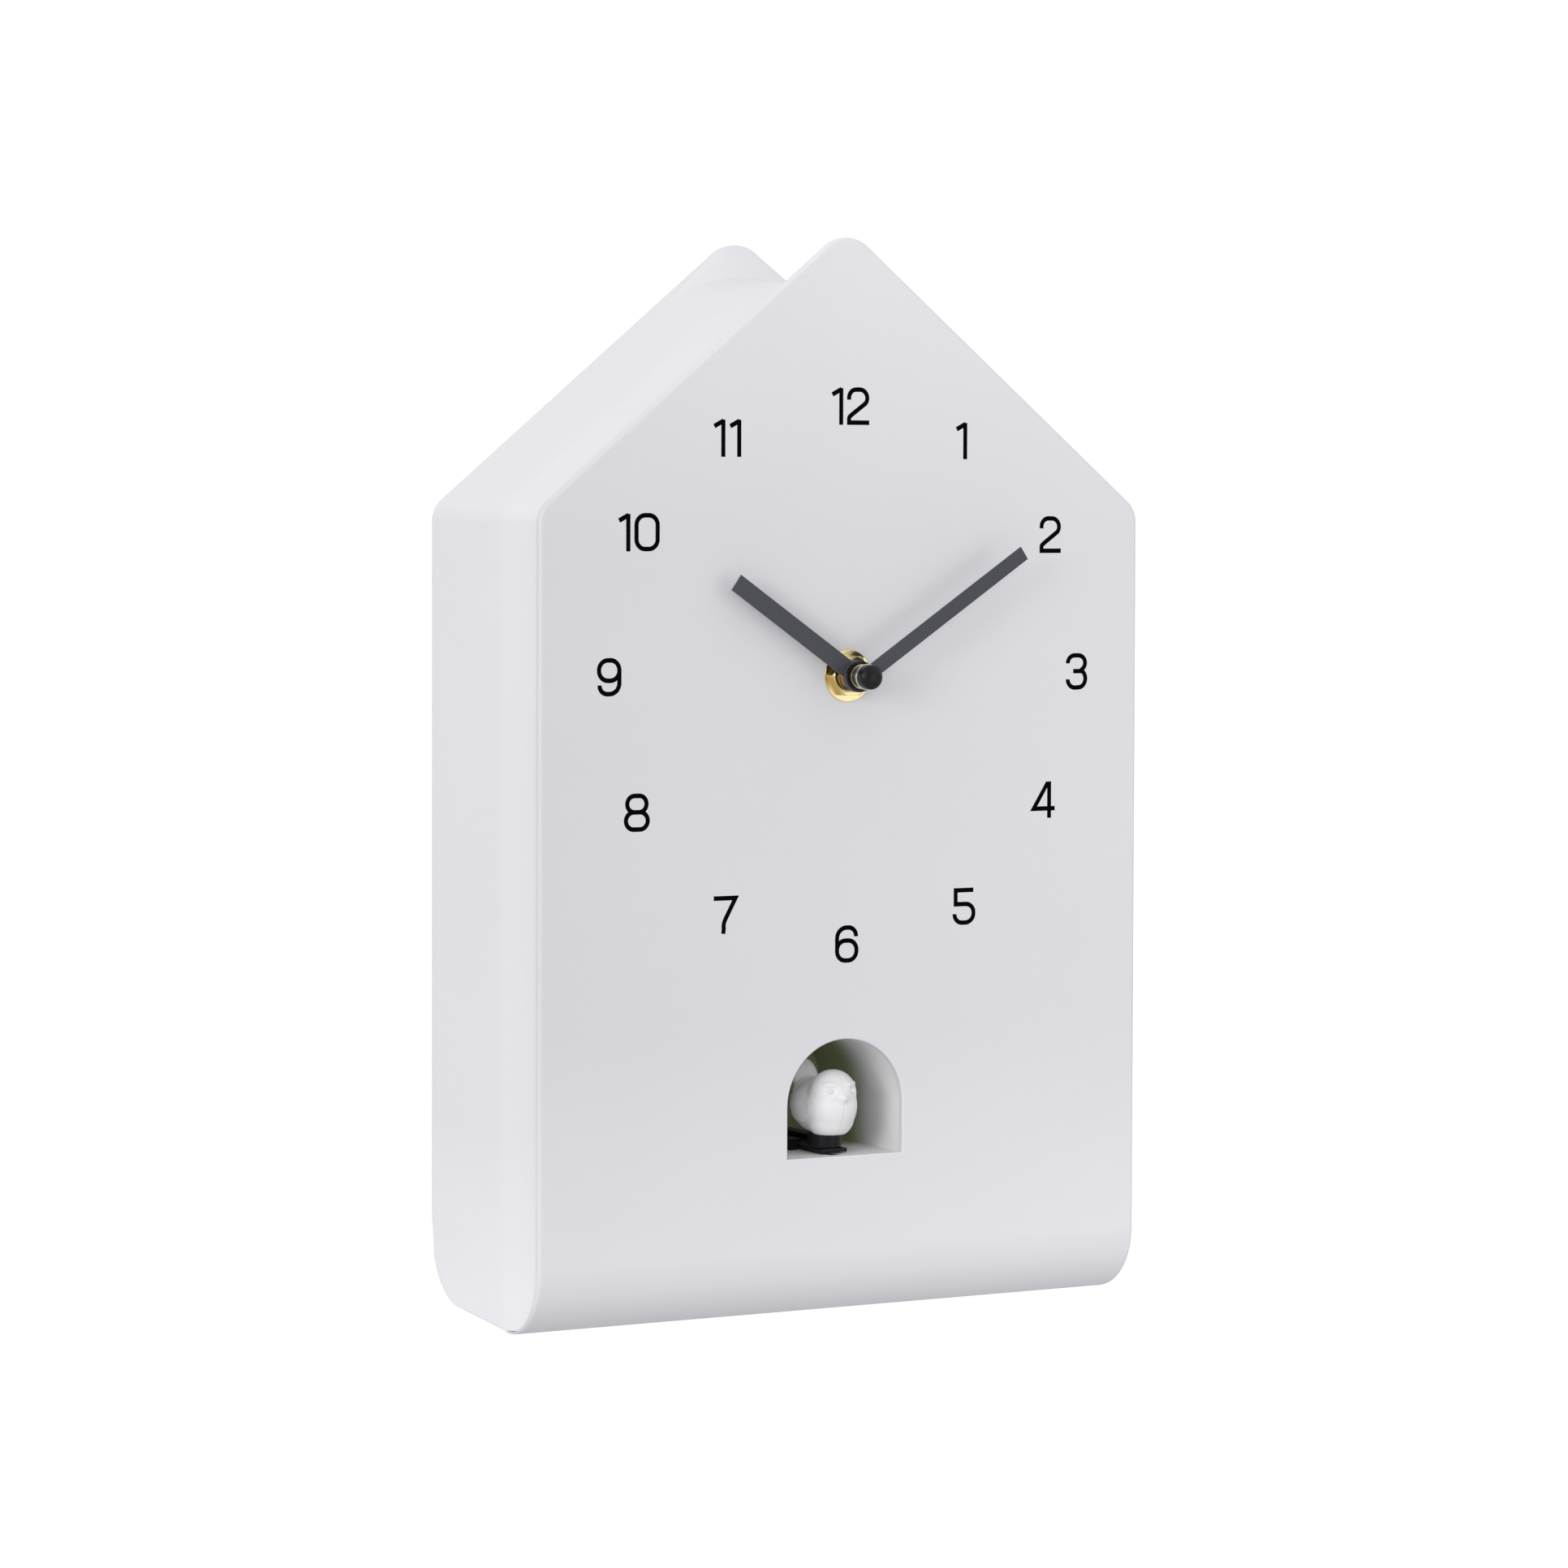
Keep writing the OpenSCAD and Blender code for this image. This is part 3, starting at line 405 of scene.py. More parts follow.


# Painted light and shade on the panel: darker at the left and lighter at the right, lighter towards the
# ridge and towards the bend, and darker on the lowest part of the bend.
PANEL_PAINTED_LIGHT = (("X", -HALF_W, HALF_W, 0.91, 1.02),
               ("Z", DIAL_Z + 40 * MM, PANEL[1].z, 1.0, 1.11),
               ("Z", DIAL_Z - 100 * MM, BASE_Z + 16 * MM, 1.0, 1.09),
               ("Z", BASE_Z + 12 * MM, BASE_Z, 1.0, 0.90))
# Painted light on the shell: lighter over its lowest 55 mm towards the base.
SHELL_PAINTED_LIGHT = (("Z", BASE_Z + 55 * MM, BASE_Z + 10 * MM, 1.0, 1.1),)
FINISHES = (
    moulded("panel_white", (0.785, 0.78, 0.815), rough=0.40, tint=0.008, grain=3000,
            depth=0.010 * MM, steps=PANEL_PAINTED_LIGHT),
    moulded("shell_white", (0.82, 0.815, 0.848), rough=0.44, tint=0.008, grain=2400,
            depth=0.014 * MM, steps=SHELL_PAINTED_LIGHT),
    moulded("cover_white", (0.79, 0.79, 0.79), rough=0.55, grain=1500, depth=0.035 * MM),
    # The niche's walls: painted shade that darkens them to olive from 18 to 33 mm behind the face.
    niche_paint("niche_white", (0.96, 0.96, 0.97), (0.45, 0.50, 0.31), FACE_Y + 18 * MM, FACE_Y + 33 * MM),
    moulded("hand_charcoal", (0.052, 0.055, 0.066), rough=0.46, tint=0.08, grain=3200, depth=0.02 * MM),
    moulded("cap_black", (0.006, 0.006, 0.007), rough=0.30, tint=0.1, grain=3600, shine=0.3),
    turned("polished_brass", (0.86, 0.70, 0.37), rough=0.11),
    metal("bright_steel", (0.62, 0.62, 0.63), stretch=(1, 1, 9)),
    metal("plated_screw", (0.55, 0.55, 0.54), rough=0.3, scale=1600),
    moulded("bird_white", (0.86, 0.86, 0.87), rough=0.38, grain=2800, depth=0.012 * MM),
    moulded("mechanism_black", (0.010, 0.010, 0.012), rough=0.30, tint=0.1, shine=0.2),
    moulded("gear_ivory", (0.74, 0.69, 0.57), rough=0.36, tint=0.04),
    moulded("movement_plastic", (0.045, 0.045, 0.05), rough=0.5, tint=0.1, grain=1600, depth=0.03 * MM),
    moulded("rubber_black", (0.022, 0.022, 0.023), rough=0.78, tint=0.12, grain=1800, depth=0.03 * MM),
    windings("coil_copper", (0.80, 0.36, 0.15), 900),
    circuit("board_green", (0.02, 0.17, 0.07), (0.06, 0.30, 0.13)),
    moulded("chip_black", (0.025, 0.025, 0.027), rough=0.6, tint=0.1, grain=2000, depth=0.02 * MM),
    moulded("magnet_grey", (0.09, 0.09, 0.095), rough=0.55, tint=0.12, grain=1300, depth=0.05 * MM),
    moulded("cone_paper", (0.035, 0.035, 0.035), rough=0.85, tint=0.2, grain=900, depth=0.08 * MM),
    moulded("cell_wrap", (0.03, 0.12, 0.06), rough=0.25, tint=0.08, grain=1200),
)

# Blender adds a number to a name that the frame's own materials already have.
MATERIALS = {mat.name.split(".")[0]: mat for mat in FINISHES}


def dress(obj, slot):
    """Gives a piece or a CAD node the finish of one slot."""
    obj.data.materials.clear()
    obj.data.materials.append(MATERIALS[slot])


for part in frame["record"]["subparts"]:
    dress(nodes[part["node"]], part["material_slot"])


def soften(node, width):
    """Rounds the sharp edges of a CAD node's shown surface; its own mesh stays as it is."""
    obj = nodes[node]
    weld = obj.modifiers.new("weld", "WELD")
    weld.merge_threshold = 1e-6
    flat = obj.modifiers.new("flat", "DECIMATE")
    flat.decimate_type = "DISSOLVE"
    flat.angle_limit = math.radians(0.6)
    edge = obj.modifiers.new("edge", "BEVEL")
    edge.width = width
    edge.segments = 2
    edge.limit_method = "ANGLE"
    edge.angle_limit = math.radians(30)
    edge.harden_normals = False
    even = obj.modifiers.new("even", "WEIGHTED_NORMAL")
    even.keep_sharp = False


# ---- Camera ----

DIAL_CENTRE = Vector((0, FACE_Y, DIAL_Z + 0.55 * MM))
CAMERA_FROM = Vector((-0.74975, -1.32647, 0.0588))


def make_camera():
    """The photo's viewpoint: from the left and a little above the dial's centre."""
    data = bpy.data.cameras.new("camera")
    cam = bpy.data.objects.new("camera", data)
    scene.collection.objects.link(cam)
    data.lens = 123.6
    data.sensor_width = 36
    data.shift_x = -0.0402
    data.shift_y = -0.0704
    forward = -CAMERA_FROM.normalized()
    right = forward.cross(Vector((0, 0, 1))).normalized()
    up = right.cross(forward)
    roll = math.radians(0.195)
    tilted = right * math.cos(roll) + up * math.sin(roll)
    up = tilted.cross(forward)
    turn = Matrix((tilted, up, -forward)).transposed().to_4x4()
    cam.matrix_world = Matrix.Translation(DIAL_CENTRE + CAMERA_FROM) @ turn
    data.clip_start = 0.05
    data.clip_end = 100
    scene.camera = cam


make_camera()


# ---- Front panel ----

def ridge(r, inset, n):
    """Rounded ridge as (x, z) from right to left, for any radius on the same two slopes."""
    return arc((0, SHARP_Z - r / math.cos(ROOF_PITCH)), r - inset, TURN, math.pi - TURN, n)


def house(inset, low_z):
    """Front outline as (x, z) from the lower right over the ridge to the lower left, drawn in by inset."""
    left_eave = (-EAVE_C[0], EAVE_C[1])
    return ([(HALF_W - inset, low_z)]
            + arc(EAVE_C, EAVE_R - inset, 0, TURN)
            + ridge(RIDGE_R, inset, ARC_N)
            + arc(left_eave, EAVE_R - inset, math.pi - TURN, math.pi)
            + [(inset - HALF_W, low_z)])


def doorway(grow):
    """Arched opening as (x, z), grown outwards by grow."""
    r = NICHE_R + grow
    return [(r, SILL_Z - grow)] + arc((0, SPRING_Z), r, 0, math.pi, 28) + [(-r, SILL_Z - grow)]


def bush_hole():
    """Round hole for the movement's threaded bush as (x, z)."""
    return arc((0, DIAL_Z), BUSH_HOLE_R, 0, math.tau, 48)[:-1]


def base_line(t):
    """Rows of the panel's bend at depth t, where it thins out, as (share of the width, place)."""
    rows = []
    steps = 28
    tip_in = 0.45 * MM
    sweep = math.pi / 2 + BASE_TILT
    mean, half = (PANEL_T + PANEL_TIP_T) / 2, (PANEL_T - PANEL_TIP_T) / 2
    for k in range(steps + 1):
        turned_by = sweep * k / steps
        a = math.pi + turned_by
        thick = mean + half * (math.cos(turned_by) - math.sin(turned_by))
        r = BEND_R - t * thick / PANEL_T
        narrow = 1 - tip_in / HALF_W * (turned_by / sweep) ** 2
        rows.append((narrow, Vector((0, BEND_C[0] + r * math.cos(a), BEND_C[1] + r * math.sin(a)))))
    return rows


def front_panel():
    """One sheet: a flat face with rounded edges and two openings, and a bend that runs under the base."""
    edge_r = 1.1 * MM
    back_r = 0.25 * MM
    lip_r = 0.5 * MM
    quarter = [math.pi / 2 * k / 6 for k in range(7)]
    levels = [(back_r, PANEL_T), (0, PANEL_T - back_r)]
    levels += [(edge_r * (1 - math.cos(a)), edge_r * (1 - math.sin(a))) for a in quarter]
    bm = bmesh.new()
    start_z = BEND_C[1]
    loops = [[(x, FACE_Y + t, z) for x, z in house(inset, start_z)] for inset, t in levels]
    rings = loft(bm, loops, closed=False)
    lip = [(lip_r * (1 - math.sin(a)), lip_r * (1 - math.cos(a))) for a in quarter]
    door_loops = [[(x, FACE_Y + t, z) for x, z in doorway(g)] for g, t in lip]
    door_loops.append([(x, FACE_Y + PANEL_T, z) for x, z in doorway(0)])
    door = loft(bm, door_loops)
    hole = loft(bm, [[(x, FACE_Y + t, z) for x, z in bush_hole()] for t in (0, PANEL_T)])
    fill(bm, rings[-1], [door[0], hole[0]])
    fill(bm, rings[0], [door[-1], hole[-1]])
    strips = [(HALF_W - inset, t) for inset, t in levels]
    strips += [(inset - HALF_W, t) for inset, t in reversed(levels)]
    rows = [[Vector((x * narrow, 0, 0)) + p for narrow, p in base_line(t)] for x, t in strips]
    ends = loft(bm, list(zip(*rows)))
    bm.faces.new(ends[-1])
    obj = finish_mesh("panel_sheet", bm, 40)
    dress(obj, "panel_white")
    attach(obj, "casing")
    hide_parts("front_panel")


front_panel()


# ---- Shell ----

def edge_distance(y, z):
    """Distance in from the side view's front and lower edge; level lines turn ever more gently inwards."""
    spread = 0.6
    a = max(y - FACE_Y, 0)
    b = max((z - BASE_Z) * math.cos(BASE_TILT) - (y - BEND_C[0]) * math.sin(BASE_TILT), 0)
    m = 1 + spread
    ca, cb = BEND_R - a, BEND_R - b
    p = 2 * m * m - spread * spread
    q = m * (ca + cb) - BEND_R * spread
    s = ca * ca + cb * cb - BEND_R * BEND_R
    root = q * q - p * s
    d = (-q + math.sqrt(root)) / p if root > 0 else min(a, b)
    reach = BEND_R + m * max(d, 0)
    return d if a < reach and b < reach else min(a, b)


def shoulder(d):
    """How far the side stands in at distance d from the edge, with a soft crease at SHOULDER_D."""
    soft = 1.2 * MM
    bow = 0.85
    left = SHOULDER_D - max(d, 0)
    if abs(left) < soft:
        left = (left + soft) ** 2 / (4 * soft)
    share = max(left, 0) / SHOULDER_D
    return SHOULDER_IN * share * (1 + bow - bow * share)


def lower_front(inset):
    """Shell's side view under the panel as (y, z), drawn in from the panel's inner face by inset."""
    steps = 22
    closing = 0.8 * PANEL_GAP
    half = (PANEL_T - PANEL_TIP_T) / 2
    r = BEND_R - (PANEL_T + PANEL_TIP_T) / 2 - inset
    run = []
    for k in range(steps + 1):
        a = math.pi + (math.pi / 2 + BASE_TILT) * k / steps
        close = r + closing * (k / steps) ** 2
        run.append((BEND_C[0] + half + close * math.cos(a), BEND_C[1] - half + close * math.sin(a)))
    return run


def lower_back(inset):
    """Shell's side view behind the panel: base and heel up to the wall."""
    steps = 16
    heel = arc(HEEL_C, HEEL_R - inset, 1.5 * math.pi + BASE_TILT, math.tau, 22)
    y0 = PANEL_END_Y
    y1, z1 = heel[0]
    z0 = z1 - (y1 - y0) * math.tan(BASE_TILT)
    return [(y0 + (y1 - y0) * k / steps, z0 + (z1 - z0) * k / steps) for k in range(steps)] + heel


def with_place(run, y):
    """The run as (y, z) points, with a point put in at y."""
    out = []
    for a, b in zip(run, run[1:] + [None]):
        out.append(a)
        if b and a[0] < y < b[0]:
            out.append((y, a[1] + (b[1] - a[1]) * (y - a[0]) / (b[0] - a[0])))
    return out


def saddle_r(y, cove=True):
    """Radius of the roof's saddle at depth y; outside, a soft cove runs up to the rear plate."""
    steepness = 2.4
    height = 0.96
    share = (y - SHELL_FRONT_Y) / (-REAR_PLATE_T - SHELL_FRONT_Y)
    r = SADDLE_FRONT_R + (SADDLE_BACK_R - SADDLE_FRONT_R) * min(share, 1)
    rise = min(max((y + REAR_PLATE_T + COVE_D) / COVE_D, 0), 1) if cove else 0
    return r + (RIDGE_R - r) * rise ** steepness * height


def side_inset(y, z):
    """How far the side wall stands in: the full shoulder along the front, less of it along the base."""
    base_share = 0.4
    along_base = shoulder(edge_distance(y, z))
    straight = shoulder(y - FACE_Y)
    return straight + (along_base - straight) * base_share


def shell_section(y, low_z, extra=0.0, plate=False, cove=True, round_r=CORNER_R):
    """One closed loop around the shell at depth y; a plate has the sharp ridge of the panel."""
    corner_n, base_n, wall_n, crown_n = 5, 56, 6, 24
    top_in = shoulder(y - FACE_Y) + extra
    corner = [(HALF_W - round_r + round_r * math.sin(a), low_z + round_r * (1 - math.cos(a)))
              for a in [math.pi / 2 * k / corner_n for k in range(corner_n + 1)]]
    low = low_z + round_r
    top = EAVE_C[1]
    base_top = max(low + 1 * MM, BASE_Z + 75 * MM)
    heights = [low + (base_top - low) * k / base_n for k in range(1, base_n + 1)]
    heights += [base_top + (top - base_top) * k / wall_n for k in range(1, wall_n)]
    right = [(x - side_inset(y, z) - extra, z) for x, z in corner]
    right += [(HALF_W - side_inset(y, z) - extra, z) for z in heights]
    right += arc(EAVE_C, EAVE_R - top_in, 0, TURN, 14)
    crown = ridge(saddle_r(y, cove), top_in, crown_n)
    if plate:
        crown = [crown[0]] + ridge(RIDGE_R, top_in, crown_n - 2) + [crown[-1]]
    left = [(-x, z) for x, z in reversed(right)]
    return [(x, y, z) for x, z in right + crown + left]


def body_shell():
    """Casing: front wall, shouldered sides, roof saddle, rear plate, heel, rim and inner walls."""
    gap_y = PANEL_END_Y + 0.08 * MM
    cove_n = 7
    front = with_place(with_place(lower_front(PANEL_GAP), CAVITY_Y), gap_y)
    front = [p for p in front if p[0] <= gap_y + TINY]
    back = with_place(lower_back(0), gap_y)
    for k in range(cove_n + 1):
        back = with_place(back, -REAR_PLATE_T - COVE_D * (1 - math.sin(math.pi / 2 * k / cove_n)))
    back = [p for p in back if p[0] >= gap_y - TINY]
    loops = []
    for y, z in front + back:
        over = max(y + RIM_R, 0)
        extra = RIM_R - math.sqrt(max(RIM_R * RIM_R - over * over, 0))
        corner_r = HIDDEN_CORNER_R if len(loops) <= len(front) else CORNER_R
        if y <= CAVITY_Y + TINY:
            loops.append(shell_section(y, z, extra, plate=True, round_r=corner_r))
        if CAVITY_Y - TINY <= y <= -REAR_PLATE_T + TINY:
            loops.append(shell_section(y, z, extra, round_r=corner_r))
        if y >= -REAR_PLATE_T - TINY:
            loops.append(shell_section(y, z, extra, plate=True))
    loops += [shell_section(y, COVER_EDGE_Z, WALL_T, cove=False) for y in (0, -REAR_PLATE_T, LIP_Y)]
    inner = lower_front(PANEL_GAP + FRONT_WALL_T)[::2]
    inner += lower_back(PANEL_TIP_T + PANEL_GAP + FRONT_WALL_T)[1::3]
    inner = sorted((p for p in inner if p[0] < LIP_Y), reverse=True)
    loops += [shell_section(y, z, WALL_T, cove=False) for y, z in inner]
    bm = bmesh.new()
    rings = loft(bm, loops)
    walls = []
    for outline in (doorway(LINER_T), bush_hole()):
        walls.append(loft(bm, [[(x, y, z) for x, z in outline] for y in (SHELL_FRONT_Y, CAVITY_Y)]))
    fill(bm, rings[0], [w[0] for w in walls])
    fill(bm, rings[-1], [w[-1] for w in walls])
    obj = finish_mesh("shell_skin", bm, 32)
    dress(obj, "shell_white")
    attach(obj, "casing")
    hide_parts("body_shell")


body_shell()


# ---- Numerals ----

NUMERAL_RING_R = 76.7 * MM
INK_T = 0.03 * MM
INK_LIFT = 0.006 * MM
INK_SUNK = 0.005 * MM

INK = moulded("numeral_ink", (0.0012, 0.001, 0.0028), rough=0.5, tint=0.15, grain=3600, shine=0.02)

# From here to the digits in millimetres. TOP, MID and LOW are heights of a stroke's middle line.
NUMERAL_H = 10.65
DIGIT_GAP = 1.25
STROKE = 1.3
S2 = STROKE / 2
TOP = NUMERAL_H - S2
MID = NUMERAL_H * 0.51
LOW = S2


def turn_pts(cx, cz, rx, rz, a0, a1, n=12):
    """Elliptic arc in numeral space, degrees."""
    steps = [math.radians(a0 + (a1 - a0) * k / n) for k in range(n + 1)]
    return [(cx + rx * math.cos(a), cz + rz * math.sin(a)) for a in steps]


def box_loop(x0, x1, z0, z1, r):
    """Closed loop with round corners."""
    return (turn_pts(x1 - r, z1 - r, r, r, 0, 90) + turn_pts(x0 + r, z1 - r, r, r, 90, 180)
            + turn_pts(x0 + r, z0 + r, r, r, 180, 270) + turn_pts(x1 - r, z0 + r, r, r, 270, 360)[:-1])


# Each digit gives its strokes as (points, closed) between the middle lines x0 and x1.

def zero(x0, x1):
    return [(box_loop(x0, x1, LOW, TOP, 2.7), True)]


def one(x0, x1):
    return [([(x1, 0), (x1, NUMERAL_H - 0.25)], False),
            ([(0.3, 8.55), (x1 + 0.1, NUMERAL_H - 0.55)], False)]


def two(x0, x1):
    pts = [(x0, 7.1)] + turn_pts(x0 + 2.3, TOP - 2.3, 2.3, 2.3, 180, 90)
    pts += turn_pts(x1 - 2.4, TOP - 2.4, 2.4, 2.4, 90, -38)
    pts += [(x0 + 0.75, LOW + 2.15)] + turn_pts(x0 + 1.9, LOW + 1.1, 1.9, 1.3, 155, 180, 4)
    return [(pts + [(x0, LOW), (x1 + S2, LOW)], False)]


def three(x0, x1):
    pts = [(x0, 7.7), (x0, TOP - 2.3)] + turn_pts(x0 + 2.3, TOP - 2.3, 2.3, 2.3, 180, 90)
    pts += turn_pts(x1 - 2.4, TOP - 2.2, 2.3, 2.2, 90, -60)
    pts += [(x1 - 1.6, MID), (2.5, MID)]
    more = [(x1 - 1.6, MID)] + turn_pts(x1 - 2.3, LOW + 2.6, 2.3, 2.55, 55, -90)
    more += turn_pts(x0 + 2.4, LOW + 2.4, 2.4, 2.4, 270, 180) + [(x0, 3.1)]
    return [(pts, False), (more, False)]


def four(x0, x1):
    bar_z = 2.75
    return [([(5.55, NUMERAL_H - 0.35), (x0 + 0.1, bar_z), (x1 + S2, bar_z)], False),
            ([(6.0, NUMERAL_H - 0.1), (6.0, 0)], False)]


def five(x0, x1):
    pts = [(6.9, TOP), (x0 + 0.35, TOP), (x0 + 0.35, 6.0), (x1 - 3.0, 6.0)]
    pts += turn_pts(x1 - 2.6, 3.6, 2.6, 2.4, 90, 0) + turn_pts(x1 - 2.7, LOW + 2.6, 2.7, 2.6, 0, -90)
    pts += turn_pts(x0 + 2.5, LOW + 2.4, 2.5, 2.4, 270, 180) + [(x0, 3.2)]
    return [(pts, False)]


def six(x0, x1):
    stem = [(x0, 3.4), (x0, TOP - 3.0)] + turn_pts(x0 + 3.0, TOP - 3.0, 3.0, 3.0, 180, 90)
    stem += turn_pts(x1 - 2.6, TOP - 2.4, 2.45, 2.4, 90, 0) + [(x1 - 0.15, 7.4)]
    return [(box_loop(x0, x1, LOW, 6.3, 2.65), True), (stem, False)]


def seven(x0, x1):
    pts = [(0, TOP), (x1 + S2 - 0.35, TOP), (3.6, 3.9)]
    return [(pts + turn_pts(6.6, 2.1, 3.45, 3.45, 150, 190, 6) + [(3.05, 0)], False)]


def eight(x0, x1):
    return [(box_loop(x0 + 0.4, x1 - 0.4, MID, TOP, 2.25), True),
            (box_loop(x0, x1, LOW, MID, 2.4), True)]


def nine(x0, x1):
    stem = [(x1, 7.2), (x1, LOW + 3.0)] + turn_pts(x1 - 3.0, LOW + 3.0, 3.0, 3.0, 0, -90)
    stem += turn_pts(x0 + 2.6, LOW + 2.3, 2.4, 2.3, 270, 180) + [(x0 + 0.2, 3.1)]
    return [(box_loop(x0, x1, 4.35, TOP, 2.75), True), (stem, False)]


DIGITS = {"0": (zero, 7.9), "1": (one, 3.8), "2": (two, 7.2), "3": (three, 7.3), "4": (four, 7.9),
          "5": (five, 7.6), "6": (six, 7.6), "7": (seven, 7.3), "8": (eight, 8.1), "9": (nine, 7.6)}


def ribbon(bm, pts, closed, to_world):
    """Thin raised band of ink along a polyline in numeral space."""
    nearest = 0.02
    bluntest_mitre = 0.45
    clean = [pts[0]]
    for p in pts[1:]:
        if math.dist(p, clean[-1]) > nearest:
            clean.append(p)
    n = len(clean)
    sides = []
    for i, (x, z) in enumerate(clean):
        before = clean[i - 1] if i or closed else None
        after = clean[(i + 1) % n] if i < n - 1 or closed else None
        dirs = []
        for a, b in ((before, (x, z)), ((x, z), after)):
            if a and b:
                length = math.dist(a, b)
                dirs.append(((b[0] - a[0]) / length, (b[1] - a[1]) / length))
        tx, tz = sum(d[0] for d in dirs), sum(d[1] for d in dirs)
        size = math.hypot(tx, tz)
        tx, tz = tx / size, tz / size
        cos_half = max(tx * dirs[0][0] + tz * dirs[0][1], bluntest_mitre)
        reach = S2 / cos_half
        sides.append(((x - tz * reach, z + tx * reach), (x + tz * reach, z - tx * reach)))
    rings = []
    for left, right in sides:
        rings.append([to_world(*left, 0), to_world(*right, 0), to_world(*right, 1), to_world(*left, 1)])
    if closed:
        rings.append(rings[0])
    made = loft(bm, rings)
    if not closed:
        bm.faces.new(made[0])
        bm.faces.new(made[-1])


def numeral(hour, nudge):
    """One printed numeral on the dial ring; each stroke lies a little higher than the one it crosses."""
    digits = [DIGITS[c] for c in str(hour)]
    total = sum(width for _, width in digits) + DIGIT_GAP * (len(digits) - 1)
    angle = math.radians(30 * hour)
    cx = NUMERAL_RING_R * math.sin(angle) + nudge[0] * MM
    cz = DIAL_CENTRE.z + NUMERAL_RING_R * math.cos(angle) + nudge[1] * MM
    bm = bmesh.new()
    start = -total / 2
    for draw, width in digits:
        for layer, (pts, closed) in enumerate(draw(S2, width - S2)):
            def to_world(x, z, out, start=start, thick=INK_T + INK_LIFT * layer):
                y = FACE_Y - out * thick + INK_SUNK
                return (cx + (start + x) * MM, y, cz + (z - NUMERAL_H / 2) * MM)
            ribbon(bm, pts, closed, to_world)
        start += width + DIGIT_GAP
    obj = finish_mesh(f"numeral_{hour:02d}", bm, 30)
    obj.data.materials.append(INK)
    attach(obj, "casing")


# How far each numeral stands off its even place on the ring, in millimetres.
NUDGES = {12: (0.8, -1.0), 1: (-1.0, -0.3), 2: (0.9, 0.8), 3: (-0.2, -0.6), 4: (-1.1, 0.8), 5: (0.5, -1.1),
          6: (0.2, -0.1), 7: (-0.6, -0.6), 8: (-0.4, 0.8), 9: (1.2, 0.2), 10: (0.1, 1.9), 11: (-0.3, 0.1)}
for hour, nudge in NUDGES.items():
    numeral(hour, nudge)


# ---- Bird ----

BIRD_O = Vector(((POST[0].x + POST[1].x) / 2, (POST[0].y + POST[1].y) / 2, DIAL_Z - 132 * MM))

# From here to bird_halves() in millimetres from BIRD_O.
EYE = (3.9, -10.4, 13.7)
BEAK = Vector((0, -13.38, 11.4))
BEAK_R = 1.7
HEAD_Y = -8
BELLY_Z = 0.75
BALLS = (((0, 1.6, 8.2), (8.0, 11.6, 8.0), 0),      # body
         ((0, -3.4, 8.9), (7.5, 8.3, 8.6), 4),      # breast
         ((0, -4.7, 12.6), (6.8, 6.9, 6.8), 0),     # head
         ((0, -3.0, 5.0), (6.9, 7.2, 5.6), 0),      # belly
         ((0, 8.2, 10.8), (5.6, 5.4, 4.8), 35),     # rump
         ((0, 11.4, 15.4), (4.3, 1.9, 6.0), -18))   # tail


def ball(bm, centre, radii, tilt):
    """Adds an ellipsoid in the bird's millimetres, tilted about X."""
    turn = Matrix.Rotation(math.radians(tilt), 4, "X")
    size = Matrix.Diagonal((*radii, 1))
    bmesh.ops.create_uvsphere(bm, u_segments=48, v_segments=32, radius=1,
                              matrix=Matrix.Translation(centre) @ turn @ size)


def evaluated(obj):
    """A fresh mesh with the object's modifiers applied."""
    graph = bpy.context.evaluated_depsgraph_get()
    return bpy.data.meshes.new_from_object(obj.evaluated_get(graph))


def relax(bm, rounds):
    """Smooths the surface by moving each vertex half of the way to its neighbours' mean."""
    for _ in range(rounds):
        bmesh.ops.smooth_vert(bm, verts=bm.verts, factor=0.5,
                              use_axis_x=True, use_axis_y=True, use_axis_z=True)


def near(p, centre, radii):
    """0 at the centre of an ellipsoid, 1 on its surface."""
    return math.sqrt(sum(((a - c) / r) ** 2 for a, c, r in zip(p, centre, radii)))


def step(value, edge, width):
    """Smooth fall from 1 inside edge to 0 outside it."""
    t = min(max((value - edge) / width + 0.5, 0), 1)
    return 1 - t * t * (3 - 2 * t)


def bird_relief(p):
    """Raised wings, eyes and brow, and the seam, as millimetres along the normal."""
    x, y, z = abs(p[0]), p[1], p[2]
    flank = step(3.0, x, 1.0)
    wing = 0.22 * flank * step(near((0, y, z), (0, 3.6, 8.4), (9, 8.2, 4.4)), 1.0, 0.22)
    tip = 0.12 * flank * step(near((0, y, z), (0, 6.5, 9.6), (9, 5.2, 2.6)), 1.0, 0.2)
    eye_at = math.dist((x, y, z), EYE)
    socket = -0.5 * step(eye_at, 1.5, 0.9)
    eye = 0.95 * step(eye_at, 0.68, 0.45)
    over_eye = (EYE[0], EYE[1] + 0.3, EYE[2] + 1.9)
    brow = 0.4 * step(near((x, y, z), over_eye, (2.6, 2.4, 0.7)), 1.0, 0.6)
    cheek = -0.22 * step(near((x, y, z), (2.0, -12.4, 10.6), (2.2, 2.5, 1.0)), 1.0, 0.8)
    seam = -0.2 * max(0, 1 - x / 0.35)
    return wing + tip + socket + eye + brow + cheek + seam


def bird_form():
    """Plump body, raised head, small beak and a fan of a tail, as one smooth surface."""
    bm = bmesh.new()
    for centre, radii, tilt in BALLS:
        ball(bm, centre, radii, tilt)
    mesh = bpy.data.meshes.new("bird_rough")
    bm.to_mesh(mesh)
    bm.free()
    rough = bpy.data.objects.new("bird_rough", mesh)
    scene.collection.objects.link(rough)
    cells = rough.modifiers.new("cells", "REMESH")
    cells.mode = "VOXEL"
    cells.voxel_size = 0.34
    form = bmesh.new()
    form.from_mesh(evaluated(rough))
    bpy.data.objects.remove(rough)
    relax(form, 16)
    return form


